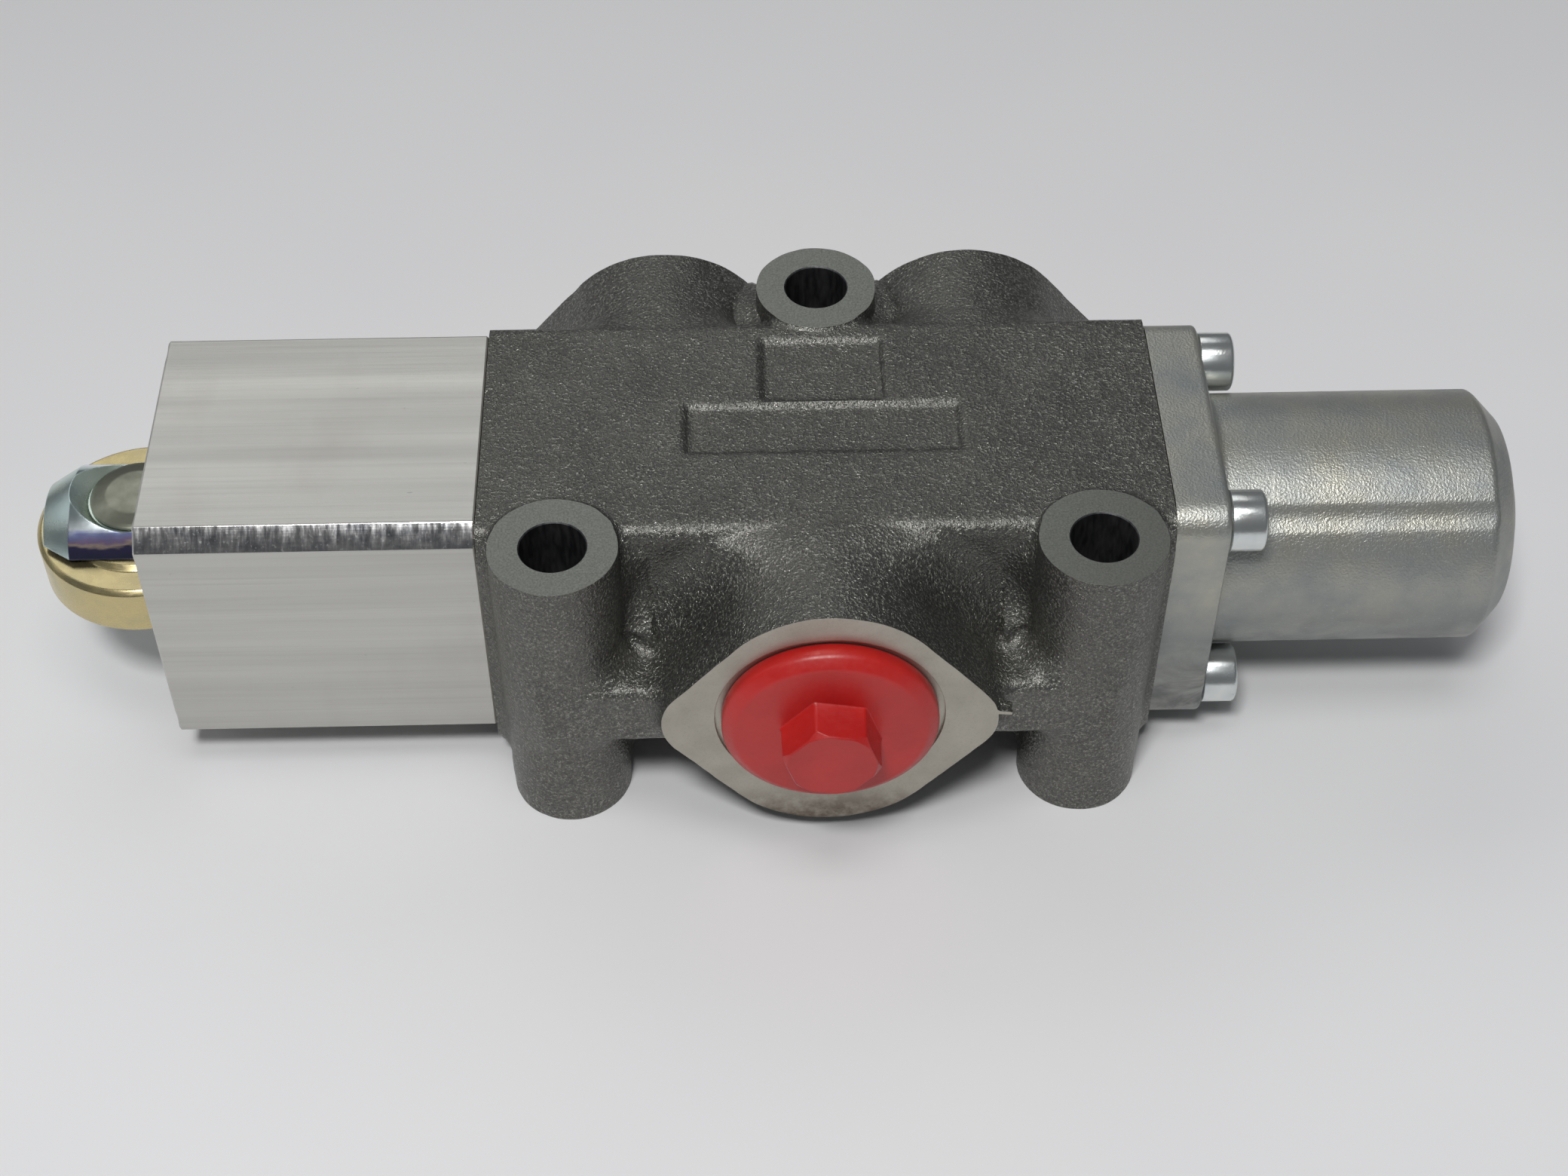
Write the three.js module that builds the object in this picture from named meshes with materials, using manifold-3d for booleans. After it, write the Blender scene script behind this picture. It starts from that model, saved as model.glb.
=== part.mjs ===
// Roller-operated, spring-return directional spool valve with three screwed ports.
//
// Millimetres, +Z up. The valve stands on the three feet of its cast body. While it is being
// built, x = 0 is the middle of the mounting holes, y = 0 is the spool axis and z = 0 is the
// plane of the feet. The whole group is then moved along X, so that the origin lies under the
// middle of the envelope.

import * as THREE from "three";
import { mergeVertices } from "three/addons/utils/BufferGeometryUtils.js";
import Module from "manifold-3d";

const wasm = await Module();
wasm.setup();

// ---- driving dimensions ------------------------------------------------------------------

const SEAM = 0.15; // gap where two pieces are bolted face to face
const RUNNING = 0.1; // radial clearance of a sliding fit
const STROKE = 7.5; // spool travel when the roller is pushed in

// cast body
const BODY_LEFT = -47.3;
const BODY_RIGHT = 47;
const AXIS_Z = 26.6; // height of the spool axis above the feet
const BAR_HALF = 21.1; // half the square section along the spool
const BAR_EDGE_R = 2;
const COLUMN_X = 36.7; // front mounting columns at plus and minus this
const COLUMN_FRONT_Y = -24;
const COLUMN_REAR_Y = 27.4;
const COLUMN_R = 8.75;
const COLUMN_TOP = 48.2;
const MOUNT_HOLE_R = 4.5;
const PORT_FACE_Y = 36.2; // front port face at minus this, rear port faces at plus this
const PORT_SPACING = 22.5; // rear ports at plus and minus this
const BOSS_CAP_R = 16.7; // top and bottom arcs of a port boss outline
const BOSS_CAP_RISE = 4.5; // their centres above and below the boss's own centre
const BOSS_TIP_R = 8; // arcs of its two pointed sides
const BOSS_TIP_REACH = 15;
const FRONT_BOSS_DROP = 1.2; // boss centre below the spool axis
const REAR_BOSS_DROP = 0.4;
const RIB_FRONT_Y = -32.9;
const RIB_LOW = 17.6;
const RIB_HIGH = 28.4;
const SPOTFACE_R = 15.7;
const SPOTFACE_DEPTH = 0.5;
const PORT_BORE_R = 9.4; // core of a G 1/2 thread
const PORT_BORE_DEPTH = 19;
const PORT_PASSAGE_R = 6;
const PANEL_DEPTH = 0.8; // shallow cast panels in the top

// spool and its bore
const BORE_R = 8;
const GROOVE_R = 12;
const GROOVE_HALF = 3.5;
const SPOOL_R = BORE_R - RUNNING;
const SPOOL_WAIST_R = 5.5;
const SEAL_POCKET_R = 12.5;
const SEAL_SECTION_R = 1.5;
const SEAL_MEAN_R = SPOOL_R + RUNNING + SEAL_SECTION_R;

// actuator block, fork and roller
const BLOCK_LEFT = -93.2;
const BLOCK_CHAMFER = 2.65;
const FORK_R = 10.5;
const FORK_LEFT = -110.4;
const FORK_CONE_X = -106.15;
const FORK_TIP_R = 8;
const FORK_RIGHT = BODY_LEFT - STROKE - 0.4;
const FORK_SLOT_HALF = 5;
const ROLLER_X = -97.4;
const ROLLER_R = 15;
const ROLLER_HALF = 4.8;
const PIN_R = 3.9;
const PIN_HEAD_R = 6.6;
const PIN_HEAD_TOP = 9.3;
const EAR_FLAT = 8; // the roller pin's head and clip sit this far from the spool axis,
const EAR_FLAT_R = 6.9; // on round flats at the bottom of a 90 degree countersink
const ROLLER_HUB_R = 10.2;
const POCKET_HALF_Y = 16;
const POCKET_HALF_Z = 5.4;
const POCKET_DEPTH = 22;
const RELIEF_R = 11.6; // wider mouth of the fork's bore, which the roller pin's head moves into
const RELIEF_DEPTH = 12;
const LINK_PIN_X = -60.6;

// spring cap
const FLANGE_THICK = 7.6;
const FLANGE_CORNER_R = 4.5;
const CAP_R = 18.15;
const CAP_BORE_R = 14.6;
const CAP_CONE_X = 93.6;
const CAP_FACE_X = 97.3;
const CAP_FACE_R = 14.2;
const CAP_BOSS_R = 9;
const CAP_RIGHT = 99;
const CAP_FLOOR_X = 92.75;
const FLUTE_R = 4.9; // flutes that let the hex key reach the screws
const RETAINER_THICK = 1.5;

// return spring
const WIRE_R = 1.2;
const SPRING_MEAN_R = 10.9;
const ACTIVE_TURNS = 5.5;
const SEAT_THICK = 2.2;

// M5 socket head screws, four at each end
const SCREW_PITCH = 16; // each screw at plus and minus this from the spool axis
const SCREW_R = 2.45;
const SCREW_HOLE_R = 2.75;
const SCREW_HEAD_R = 4.25;
const SCREW_HEAD_LENGTH = 5;
const SCREW_KEY_R = 2.31;
const BLOCK_SCREW_LENGTH = 50;
const CAP_SCREW_LENGTH = 16;

// protective port plugs
const PLUG_R = 14.8;
const PLUG_BEVEL_R = 13.3;
const PLUG_FLANGE = 3.4;
const PLUG_HEX_R = 7;
const PLUG_HEX_END = 44.8;
const PLUG_SHANK_R = 9.1;
const PLUG_WALL = 1.7;
const PLUG_SHANK_LENGTH = 10;

const FINE = 32; // facets round a large circle
const COARSE = 20; // facets round a small one

// ---- solids ------------------------------------------------------------------------------

// The corners of each triangle that has three different ones, turned over if asked.
function triangles(index, turnedOver) {
  const kept = [];
  for (let i = 0; i < index.length; i += 3) {
    const [a, b, c] = [index[i], index[i + 1], index[i + 2]];
    if (a === b || b === c || c === a) continue;
    kept.push(a, turnedOver ? c : b, turnedOver ? b : c);
  }
  return new Uint32Array(kept);
}

// The volume inside a closed mesh, negative if its faces point inwards.
function signedVolume(position, index) {
  const [a, b, c] = [new THREE.Vector3(), new THREE.Vector3(), new THREE.Vector3()];
  let sum = 0;
  for (let i = 0; i < index.length; i += 3) {
    a.fromBufferAttribute(position, index[i]);
    b.fromBufferAttribute(position, index[i + 1]);
    c.fromBufferAttribute(position, index[i + 2]);
    sum += a.dot(b.cross(c)) / 6;
  }
  return sum;
}

function solid(geometry) {
  geometry.deleteAttribute("normal");
  geometry.deleteAttribute("uv");
  const merged = mergeVertices(geometry, 1e-4);
  const position = merged.getAttribute("position");
  const inwards = signedVolume(position, merged.index.array) < 0;
  const mesh = new wasm.Mesh({
    numProp: 3,
    vertProperties: position.array,
    triVerts: triangles(merged.index.array, inwards),
  });
  return new wasm.Manifold(mesh);
}

function geometryOf(manifold) {
  const mesh = manifold.getMesh();
  const geometry = new THREE.BufferGeometry();
  geometry.setAttribute("position", new THREE.BufferAttribute(mesh.vertProperties, 3));
  geometry.setIndex(new THREE.BufferAttribute(mesh.triVerts, 1));
  geometry.computeVertexNormals();
  return geometry;
}

function joined(first, ...others) {
  return others.reduce((whole, piece) => whole.add(piece), first);
}

function cut(first, ...others) {
  return others.reduce((whole, piece) => whole.subtract(piece), first);
}

function box(x0, x1, y0, y1, z0, z1) {
  const geometry = new THREE.BoxGeometry(x1 - x0, y1 - y0, z1 - z0);
  geometry.translate((x0 + x1) / 2, (y0 + y1) / 2, (z0 + z1) / 2);
  return solid(geometry);
}

function cylinderX(radius, x0, x1, y, z, sides = COARSE) {
  const geometry = new THREE.CylinderGeometry(radius, radius, x1 - x0, sides);
  geometry.rotateZ(-Math.PI / 2);
  geometry.translate((x0 + x1) / 2, y, z);
  return solid(geometry);
}

function cylinderY(radius, y0, y1, x, z, sides = COARSE) {
  const geometry = new THREE.CylinderGeometry(radius, radius, y1 - y0, sides);
  geometry.translate(x, (y0 + y1) / 2, z);
  return solid(geometry);
}

function cylinderZ(radius, z0, z1, x, y, sides = COARSE) {
  const geometry = new THREE.CylinderGeometry(radius, radius, z1 - z0, sides);
  geometry.rotateX(Math.PI / 2);
  geometry.translate(x, y, (z0 + z1) / 2);
  return solid(geometry);
}

// A profile of [place along the spool axis, radius] turned about the spool axis.
function turnedX(profile, sides = FINE) {
  const points = profile.map(([x, radius]) => new THREE.Vector2(radius, x));
  const geometry = new THREE.LatheGeometry(points, sides);
  geometry.rotateZ(-Math.PI / 2);
  geometry.translate(0, 0, AXIS_Z);
  return solid(geometry);
}

// A profile of [height above the spool axis, radius] turned about the roller's axis.
function turnedAboutRoller(profile, sides = FINE) {
  const points = profile.map(([height, radius]) => new THREE.Vector2(radius, height));
  const geometry = new THREE.LatheGeometry(points, sides);
  geometry.rotateX(Math.PI / 2);
  geometry.translate(ROLLER_X, 0, AXIS_Z);
  return solid(geometry);
}

function ringProfile(from, to, innerR, outerR) {
  return [[from, innerR], [from, outerR], [to, outerR], [to, innerR], [from, innerR]];
}

// An outline in Y and Z, about the spool axis, drawn out along X.
function drawnX(shape, x0, x1, curveSegments = 6) {
  const options = { depth: x1 - x0, bevelEnabled: false, curveSegments };
  const geometry = new THREE.ExtrudeGeometry(shape, options);
  geometry.applyMatrix4(new THREE.Matrix4().set(0, 0, 1, x0, 1, 0, 0, 0, 0, 1, 0, AXIS_Z, 0, 0, 0, 1));
  return solid(geometry);
}

// An outline in X and Z, about the point x and z, drawn out along Y.
function drawnY(shape, y0, y1, x, z, curveSegments = 10) {
  const options = { depth: y1 - y0, bevelEnabled: false, curveSegments };
  const geometry = new THREE.ExtrudeGeometry(shape, options);
  geometry.applyMatrix4(new THREE.Matrix4().set(1, 0, 0, x, 0, 0, -1, y1, 0, 1, 0, z, 0, 0, 0, 1));
  return solid(geometry);
}

function roundedSquare(half, radius) {
  const shape = new THREE.Shape();
  const middle = half - radius;
  for (let corner = 0; corner < 4; corner++) {
    const start = (corner * Math.PI) / 2;
    const x = middle * Math.sign(Math.cos(start + Math.PI / 4));
    const y = middle * Math.sign(Math.sin(start + Math.PI / 4));
    shape.absarc(x, y, radius, start, start + Math.PI / 2, false);
  }
  return shape;
}

function chamferedSquare(half, chamfer) {
  const flat = half - chamfer;
  const shape = new THREE.Shape();
  shape.moveTo(half, -flat);
  shape.lineTo(half, flat);
  shape.lineTo(flat, half);
  shape.lineTo(-flat, half);
  shape.lineTo(-half, flat);
  shape.lineTo(-half, -flat);
  shape.lineTo(-flat, -half);
  shape.lineTo(flat, -half);
  shape.closePath();
  return shape;
}

// A port boss: large arcs above and below, small arcs at both sides, and straight flanks
// that touch them.
function bossOutline() {
  const spread = Math.hypot(BOSS_CAP_RISE, BOSS_TIP_REACH);
  const lean = Math.atan2(BOSS_CAP_RISE, BOSS_TIP_REACH);
  const touch = Math.PI / 2 - lean - Math.asin((BOSS_CAP_R - BOSS_TIP_R) / spread);
  const shape = new THREE.Shape();
  shape.absarc(0, BOSS_CAP_RISE, BOSS_CAP_R, touch, Math.PI - touch, false);
  shape.absarc(-BOSS_TIP_REACH, 0, BOSS_TIP_R, Math.PI - touch, Math.PI + touch, false);
  shape.absarc(0, -BOSS_CAP_RISE, BOSS_CAP_R, Math.PI + touch, 2 * Math.PI - touch, false);
  shape.absarc(BOSS_TIP_REACH, 0, BOSS_TIP_R, -touch, touch, false);
  shape.closePath();
  return shape;
}

// ---- valve group -------------------------------------------------------------------------

const valve = new THREE.Group();

const FINISHES = {
  castIron: { color: 0x4b4a47, roughness: 0.75, metalness: 0.6 },
  aluminium: { color: 0xb4b3b0, roughness: 0.42, metalness: 0.9 },
  zincSteel: { color: 0xa9b4b8, roughness: 0.3, metalness: 0.95 },
  goldZinc: { color: 0xb49a5c, roughness: 0.35, metalness: 0.95 },
  dieCast: { color: 0x8c918e, roughness: 0.5, metalness: 0.85 },
  groundSteel: { color: 0x9a9a9c, roughness: 0.25, metalness: 0.95 },
  springSteel: { color: 0x55565a, roughness: 0.4, metalness: 0.9 },
  bronze: { color: 0x9c7440, roughness: 0.4, metalness: 0.9 },
  rubber: { color: 0x1b1b1c, roughness: 0.8, metalness: 0 },
  redPlastic: { color: 0xd4201c, roughness: 0.45, metalness: 0 },
};

function place(name, manifold, finish) {
  const material = new THREE.MeshStandardMaterial(FINISHES[finish]);
  const mesh = new THREE.Mesh(geometryOf(manifold), material);
  mesh.name = name;
  valve.add(mesh);
}

const COLUMNS = [
  [-COLUMN_X, COLUMN_FRONT_Y],
  [COLUMN_X, COLUMN_FRONT_Y],
  [0, COLUMN_REAR_Y],
];

// Each port: its place along the spool, and which way it faces along Y.
const PORTS = {
  front: { x: 0, side: -1 },
  rear_left: { x: -PORT_SPACING, side: 1 },
  rear_right: { x: PORT_SPACING, side: 1 },
};

const SCREW_PLACES = [
  [-SCREW_PITCH, -SCREW_PITCH],
  [SCREW_PITCH, -SCREW_PITCH],
  [SCREW_PITCH, SCREW_PITCH],
  [-SCREW_PITCH, SCREW_PITCH],
];

// ---- body --------------------------------------------------------------------------------

function bodyOutside() {
  const bar = drawnX(roundedSquare(BAR_HALF, BAR_EDGE_R), BODY_LEFT, BODY_RIGHT, 4);
  const ribEnd = COLUMN_X + 4;
  const rib = box(-ribEnd, ribEnd, RIB_FRONT_Y, -BAR_HALF + 2, RIB_LOW, RIB_HIGH);
  const columns = COLUMNS.map(([x, y]) => cylinderZ(COLUMN_R, 0, COLUMN_TOP, x, y, FINE));
  const bosses = Object.values(PORTS).map(({ x, side }) => {
    const [near, far] = [side * 10, side * PORT_FACE_Y];
    const z = AXIS_Z - (side < 0 ? FRONT_BOSS_DROP : REAR_BOSS_DROP);
    return drawnY(bossOutline(), Math.min(near, far), Math.max(near, far), x, z);
  });
  return joined(bar, rib, ...columns, ...bosses);
}

// A port: spotface, thread core and the passage to its groove round the spool.
function portCut({ x, side }) {
  const cylinder = (radius, y0, y1) => {
    const [a, b] = [side * y0, side * y1];
    return cylinderY(radius, Math.min(a, b), Math.max(a, b), x, AXIS_Z, FINE);
  };
  return joined(
    cylinder(SPOTFACE_R, PORT_FACE_Y - SPOTFACE_DEPTH, PORT_FACE_Y + 1),
    cylinder(PORT_BORE_R, PORT_FACE_Y - PORT_BORE_DEPTH, PORT_FACE_Y),
    cylinder(PORT_PASSAGE_R, BORE_R - 3, PORT_FACE_Y - PORT_BORE_DEPTH + 1),
  );
}

// The spool bore with its three grooves and a seal pocket at each end.
function boreCut() {
  const grooves = [-PORT_SPACING, 0, PORT_SPACING];
  const profile = [[BODY_LEFT - 1, 0], [BODY_LEFT - 1, SEAL_POCKET_R]];
  profile.push([BODY_LEFT + 5, SEAL_POCKET_R], [BODY_LEFT + 5, BORE_R]);
  for (const x of grooves) {
    profile.push([x - GROOVE_HALF, BORE_R], [x - GROOVE_HALF, GROOVE_R]);
    profile.push([x + GROOVE_HALF, GROOVE_R], [x + GROOVE_HALF, BORE_R]);
  }
  profile.push([BODY_RIGHT - 3.4, BORE_R], [BODY_RIGHT - 3.4, SEAL_POCKET_R]);
  profile.push([BODY_RIGHT + 1, SEAL_POCKET_R], [BODY_RIGHT + 1, 0]);
  return turnedX(profile);
}

function panelCut(x0, x1, y0, y1) {
  return box(x0, x1, y0, y1, AXIS_Z + BAR_HALF - PANEL_DEPTH, COLUMN_TOP);
}

function makeBody() {
  const screwHoles = SCREW_PLACES.flatMap(([y, z]) => [
    cylinderX(SCREW_HOLE_R, BODY_LEFT - 1, BODY_LEFT + 11, y, AXIS_Z + z),
    cylinderX(SCREW_HOLE_R, BODY_RIGHT - 10, BODY_RIGHT + 1, y, AXIS_Z + z),
  ]);
  const body = cut(
    bodyOutside(),
    boreCut(),
    ...Object.values(PORTS).map(portCut),
    ...COLUMNS.map(([x, y]) => cylinderZ(MOUNT_HOLE_R, -1, COLUMN_TOP + 1, x, y, FINE)),
    ...screwHoles,
    panelCut(-8.2, 8.8, 4.6, 16.6),
    panelCut(-19, 19, -5.8, 3.2),
  );
  place("valve_body", body, "castIron");
}

// ---- spool and seals ---------------------------------------------------------------------

const SPOOL_LEFT = -66;
const SPOOL_SHOULDER = FORK_RIGHT + SEAM;
const SPOOL_RIGHT = BODY_RIGHT + SEAM + RETAINER_THICK;
const TANG_R = 4.9;
const LINK_PIN_R = 2;
const END_BOLT_R = 2.95;
const CENTRE_LAND = [-7.75, 0.25]; // opens the front port to the right rear port at rest

function makeSpool() {
  const leftLandEnd = -PORT_SPACING - GROOVE_HALF - STROKE;
  const rightLandStart = PORT_SPACING + GROOVE_HALF + 0.5;
  const turned = turnedX([
    [SPOOL_LEFT, 0],
    [SPOOL_LEFT, TANG_R - 0.6],
    [SPOOL_LEFT + 0.6, TANG_R],
    [SPOOL_SHOULDER, TANG_R],
    [SPOOL_SHOULDER, SPOOL_R],
    [leftLandEnd, SPOOL_R],
    [leftLandEnd + 1, SPOOL_WAIST_R],
    [CENTRE_LAND[0] - 1, SPOOL_WAIST_R],
    [CENTRE_LAND[0], SPOOL_R],
    [CENTRE_LAND[1], SPOOL_R],
    [CENTRE_LAND[1] + 1, SPOOL_WAIST_R],
    [rightLandStart - 1, SPOOL_WAIST_R],
    [rightLandStart, SPOOL_R],
    [SPOOL_RIGHT, SPOOL_R],
    [SPOOL_RIGHT, 0],
  ]);
  const spool = cut(
    turned,
    cylinderX(END_BOLT_R + 0.25, SPOOL_RIGHT - 14, SPOOL_RIGHT + 1, 0, AXIS_Z),
    cylinderZ(LINK_PIN_R + 0.2, AXIS_Z - 9, AXIS_Z + 9, LINK_PIN_X, 0),
  );
  place("spool", spool, "groundSteel");
}

function seal(x) {
  const section = [];
  for (let i = 0; i <= 6; i++) {
    const turn = (i * Math.PI) / 3;
    const radius = SEAL_MEAN_R + SEAL_SECTION_R * Math.cos(turn);
    section.push([x + SEAL_SECTION_R * Math.sin(turn), radius]);
  }
  return turnedX(section, COARSE);
}

function makeSeals() {
  place("spool_seal_left", seal(BODY_LEFT + 5 - SEAL_SECTION_R - 0.1), "rubber");
  place("spool_seal_right", seal(BODY_RIGHT - 3.4 + SEAL_SECTION_R + 0.1), "rubber");
  const innerR = SPOOL_R + 0.2;
  const left = ringProfile(BODY_LEFT + SEAM, BODY_LEFT + 1.65, innerR, SEAL_POCKET_R - 0.2);
  const rightX = BODY_RIGHT + SEAM;
  const right = ringProfile(rightX, rightX + RETAINER_THICK, innerR, CAP_BORE_R + 1.2);
  place("seal_retainer_left", turnedX(left), "zincSteel");
  place("seal_retainer_right", turnedX(right), "zincSteel");
}

// ---- actuator block ----------------------------------------------------------------------

const BLOCK_RIGHT = BODY_LEFT - SEAM;
const WIPER_X = -63;
const WIPER_HALF = 1.5;
const WIPER_GROOVE_R = 12.6;
const COUNTERBORE = 5.5;

function makeActuatorBlock() {
  const middle = BLOCK_LEFT + POCKET_DEPTH;
  const wiperRoom = WIPER_HALF + 0.1;
  const block = cut(
    drawnX(chamferedSquare(BAR_HALF, BLOCK_CHAMFER), BLOCK_LEFT, BLOCK_RIGHT),
    cylinderX(FORK_R + RUNNING, BLOCK_LEFT - 1, BLOCK_RIGHT + 1, 0, AXIS_Z, FINE),
    cylinderX(RELIEF_R, BLOCK_LEFT - 1, BLOCK_LEFT + RELIEF_DEPTH, 0, AXIS_Z, FINE),
    box(
      BLOCK_LEFT - 1,
      middle,
      -POCKET_HALF_Y,
      POCKET_HALF_Y,
      AXIS_Z - POCKET_HALF_Z,
      AXIS_Z + POCKET_HALF_Z,
    ),
    turnedX(ringProfile(WIPER_X - wiperRoom, WIPER_X + wiperRoom, FORK_R - 2, WIPER_GROOVE_R)),
    ...SCREW_PLACES.flatMap(([y, z]) => [
      cylinderX(SCREW_HOLE_R, BLOCK_LEFT - 1, BLOCK_RIGHT + 1, y, AXIS_Z + z),
      cylinderX(SCREW_HEAD_R + 0.5, BLOCK_LEFT - 1, BLOCK_LEFT + COUNTERBORE, y, AXIS_Z + z),
    ]),
  );
  place("actuator_block", block, "aluminium");
  const wiper = ringProfile(WIPER_X - WIPER_HALF, WIPER_X + WIPER_HALF, FORK_R + 0.15, WIPER_GROOVE_R - 0.15);
  place("fork_wiper", turnedX(wiper), "rubber");
}

// A socket head screw along X: the head starts at seatX and points away from the shank.
function socketScrew(seatX, away, length, y, z) {
  const span = (radius, from, to, sides) => {
    const [a, b] = [seatX + away * from, seatX + away * to];
    return cylinderX(radius, Math.min(a, b), Math.max(a, b), y, AXIS_Z + z, sides);
  };
  const body = joined(
    span(SCREW_HEAD_R, 0, SCREW_HEAD_LENGTH, COARSE),
    span(SCREW_R, -length, 0.5, 12),
  );
  return cut(body, span(SCREW_KEY_R, SCREW_HEAD_LENGTH - 2.5, SCREW_HEAD_LENGTH + 1, 6));
}

function makeScrews() {
  SCREW_PLACES.forEach(([y, z], i) => {
    const blockSeat = BLOCK_LEFT + COUNTERBORE - SEAM;
    const capSeat = BODY_RIGHT + SEAM + FLANGE_THICK + SEAM;
    place(`block_screw_${i + 1}`, socketScrew(blockSeat, -1, BLOCK_SCREW_LENGTH, y, z), "zincSteel");
    place(`cap_screw_${i + 1}`, socketScrew(capSeat, 1, CAP_SCREW_LENGTH, y, z), "zincSteel");
  });
}

// ---- fork, roller and their pins ---------------------------------------------------------

function makeFork() {
  const bar = turnedX([
    [FORK_LEFT, 0],
    [FORK_LEFT, FORK_TIP_R],
    [FORK_CONE_X, FORK_R],
    [FORK_RIGHT, FORK_R],
    [FORK_RIGHT, 0],
  ]);
  const slotEnd = ROLLER_X + ROLLER_R + 1.4;
  const slotLow = AXIS_Z - FORK_SLOT_HALF;
  const slotHigh = AXIS_Z + FORK_SLOT_HALF;
  const sinkTop = FORK_R + 1;
  const countersink = [
    [EAR_FLAT, 0],
    [EAR_FLAT, EAR_FLAT_R],
    [sinkTop, EAR_FLAT_R + sinkTop - EAR_FLAT],
    [sinkTop, 0],
  ];
  const fork = cut(
    bar,
    box(FORK_LEFT - 1, slotEnd, -FORK_R - 1, FORK_R + 1, slotLow, slotHigh),
    turnedAboutRoller(countersink),
    turnedAboutRoller(countersink.map(([height, radius]) => [-height, radius])),
    cylinderZ(PIN_R + 0.15, AXIS_Z - FORK_R, AXIS_Z + FORK_R, ROLLER_X, 0, FINE),
    cylinderX(TANG_R + 0.25, SPOOL_LEFT - 0.5, FORK_RIGHT + 1, 0, AXIS_Z, FINE),
    cylinderZ(LINK_PIN_R + 0.2, AXIS_Z - FORK_R - 1, AXIS_Z + FORK_R + 1, LINK_PIN_X, 0),
  );
  place("roller_fork", fork, "zincSteel");
  const linkPin = cylinderZ(LINK_PIN_R, AXIS_Z - FORK_R + 1, AXIS_Z + FORK_R - 1, LINK_PIN_X, 0);
  place("spool_link_pin", linkPin, "groundSteel");
}

const BUSH_R = 6;
const CLIP_THICK = 0.8;
const RIM_HALF = 4.1;

function makeRoller() {
  const roller = turnedAboutRoller([
    [-ROLLER_HALF, BUSH_R + RUNNING],
    [-ROLLER_HALF, ROLLER_HUB_R],
    [-RIM_HALF, ROLLER_HUB_R + 0.2],
    [-RIM_HALF, ROLLER_R - 0.4],
    [-RIM_HALF + 0.4, ROLLER_R],
    [RIM_HALF - 0.4, ROLLER_R],
    [RIM_HALF, ROLLER_R - 0.4],
    [RIM_HALF, ROLLER_HUB_R + 0.2],
    [ROLLER_HALF, ROLLER_HUB_R],
    [ROLLER_HALF, BUSH_R + RUNNING],
    [-ROLLER_HALF, BUSH_R + RUNNING],
  ]);
  place("roller", roller, "goldZinc");
  const bush = ringProfile(-ROLLER_HALF + 0.1, ROLLER_HALF - 0.1, PIN_R + RUNNING, BUSH_R);
  place("roller_bush", turnedAboutRoller(bush), "bronze");
}

function makeRollerPin() {
  const seat = EAR_FLAT + SEAM;
  const grooveTop = -seat - 0.05;
  const grooveLow = grooveTop - CLIP_THICK - 0.1;
  const pin = turnedAboutRoller([
    [PIN_HEAD_TOP, 0],
    [PIN_HEAD_TOP - 0.2, 3],
    [PIN_HEAD_TOP - 0.6, PIN_HEAD_R - 0.3],
    [seat + 0.2, PIN_HEAD_R],
    [seat, PIN_HEAD_R],
    [seat, PIN_R],
    [grooveTop + 0.05, PIN_R],
    [grooveTop + 0.05, PIN_R - 0.6],
    [grooveLow, PIN_R - 0.6],
    [grooveLow, PIN_R],
    [grooveLow - 0.9, PIN_R],
    [grooveLow - 0.9, 0],
  ]);
  place("roller_pin", pin, "zincSteel");
  const clipRing = turnedAboutRoller(ringProfile(grooveTop - CLIP_THICK, grooveTop, PIN_R - 0.45, PIN_R + 2));
  const mouth = box(
    ROLLER_X - PIN_R - 3,
    ROLLER_X - 1,
    -PIN_R + 0.9,
    PIN_R - 0.9,
    AXIS_Z + grooveTop - 3,
    AXIS_Z + grooveTop + 1,
  );
  place("roller_pin_clip", cut(clipRing, mouth), "springSteel");
}

// ---- spring end --------------------------------------------------------------------------

const CAP_LEFT = BODY_RIGHT + SEAM;
const RETAINER_RIGHT = CAP_LEFT + RETAINER_THICK;
const INNER_SEAT_X = RETAINER_RIGHT + SEAM;
const SPRING_LEFT = INNER_SEAT_X + SEAT_THICK + SEAM;
const OUTER_SEAT_X = CAP_FLOOR_X - SEAM - SEAT_THICK;
const SPRING_RIGHT = OUTER_SEAT_X - SEAM;

function makeSpringCap() {
  const outside = joined(
    drawnX(roundedSquare(BAR_HALF, FLANGE_CORNER_R), CAP_LEFT, CAP_LEFT + FLANGE_THICK),
    turnedX([
      [CAP_LEFT + 1, 0],
      [CAP_LEFT + 1, CAP_R],
      [CAP_CONE_X, CAP_R],
      [CAP_FACE_X, CAP_FACE_R],
      [CAP_FACE_X, CAP_BOSS_R + 0.3],
      [CAP_RIGHT - 0.4, CAP_BOSS_R],
      [CAP_RIGHT, CAP_BOSS_R - 0.5],
      [CAP_RIGHT, 0],
    ]),
  );
  const inside = turnedX([
    [CAP_LEFT - 1, 0],
    [CAP_LEFT - 1, CAP_BORE_R + 1.4],
    [RETAINER_RIGHT + SEAM, CAP_BORE_R + 1.4],
    [RETAINER_RIGHT + SEAM, CAP_BORE_R],
    [CAP_FLOOR_X, CAP_BORE_R],
    [CAP_FLOOR_X, 0],
  ]);
  const flangeFace = CAP_LEFT + FLANGE_THICK;
  const cap = cut(
    outside,
    inside,
    ...SCREW_PLACES.flatMap(([y, z]) => [
      cylinderX(SCREW_HOLE_R, CAP_LEFT - 1, flangeFace + 1, y, AXIS_Z + z),
      cylinderX(FLUTE_R, flangeFace, CAP_RIGHT, y, AXIS_Z + z, FINE),
    ]),
  );
  place("spring_cap", cap, "dieCast");
}

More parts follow.
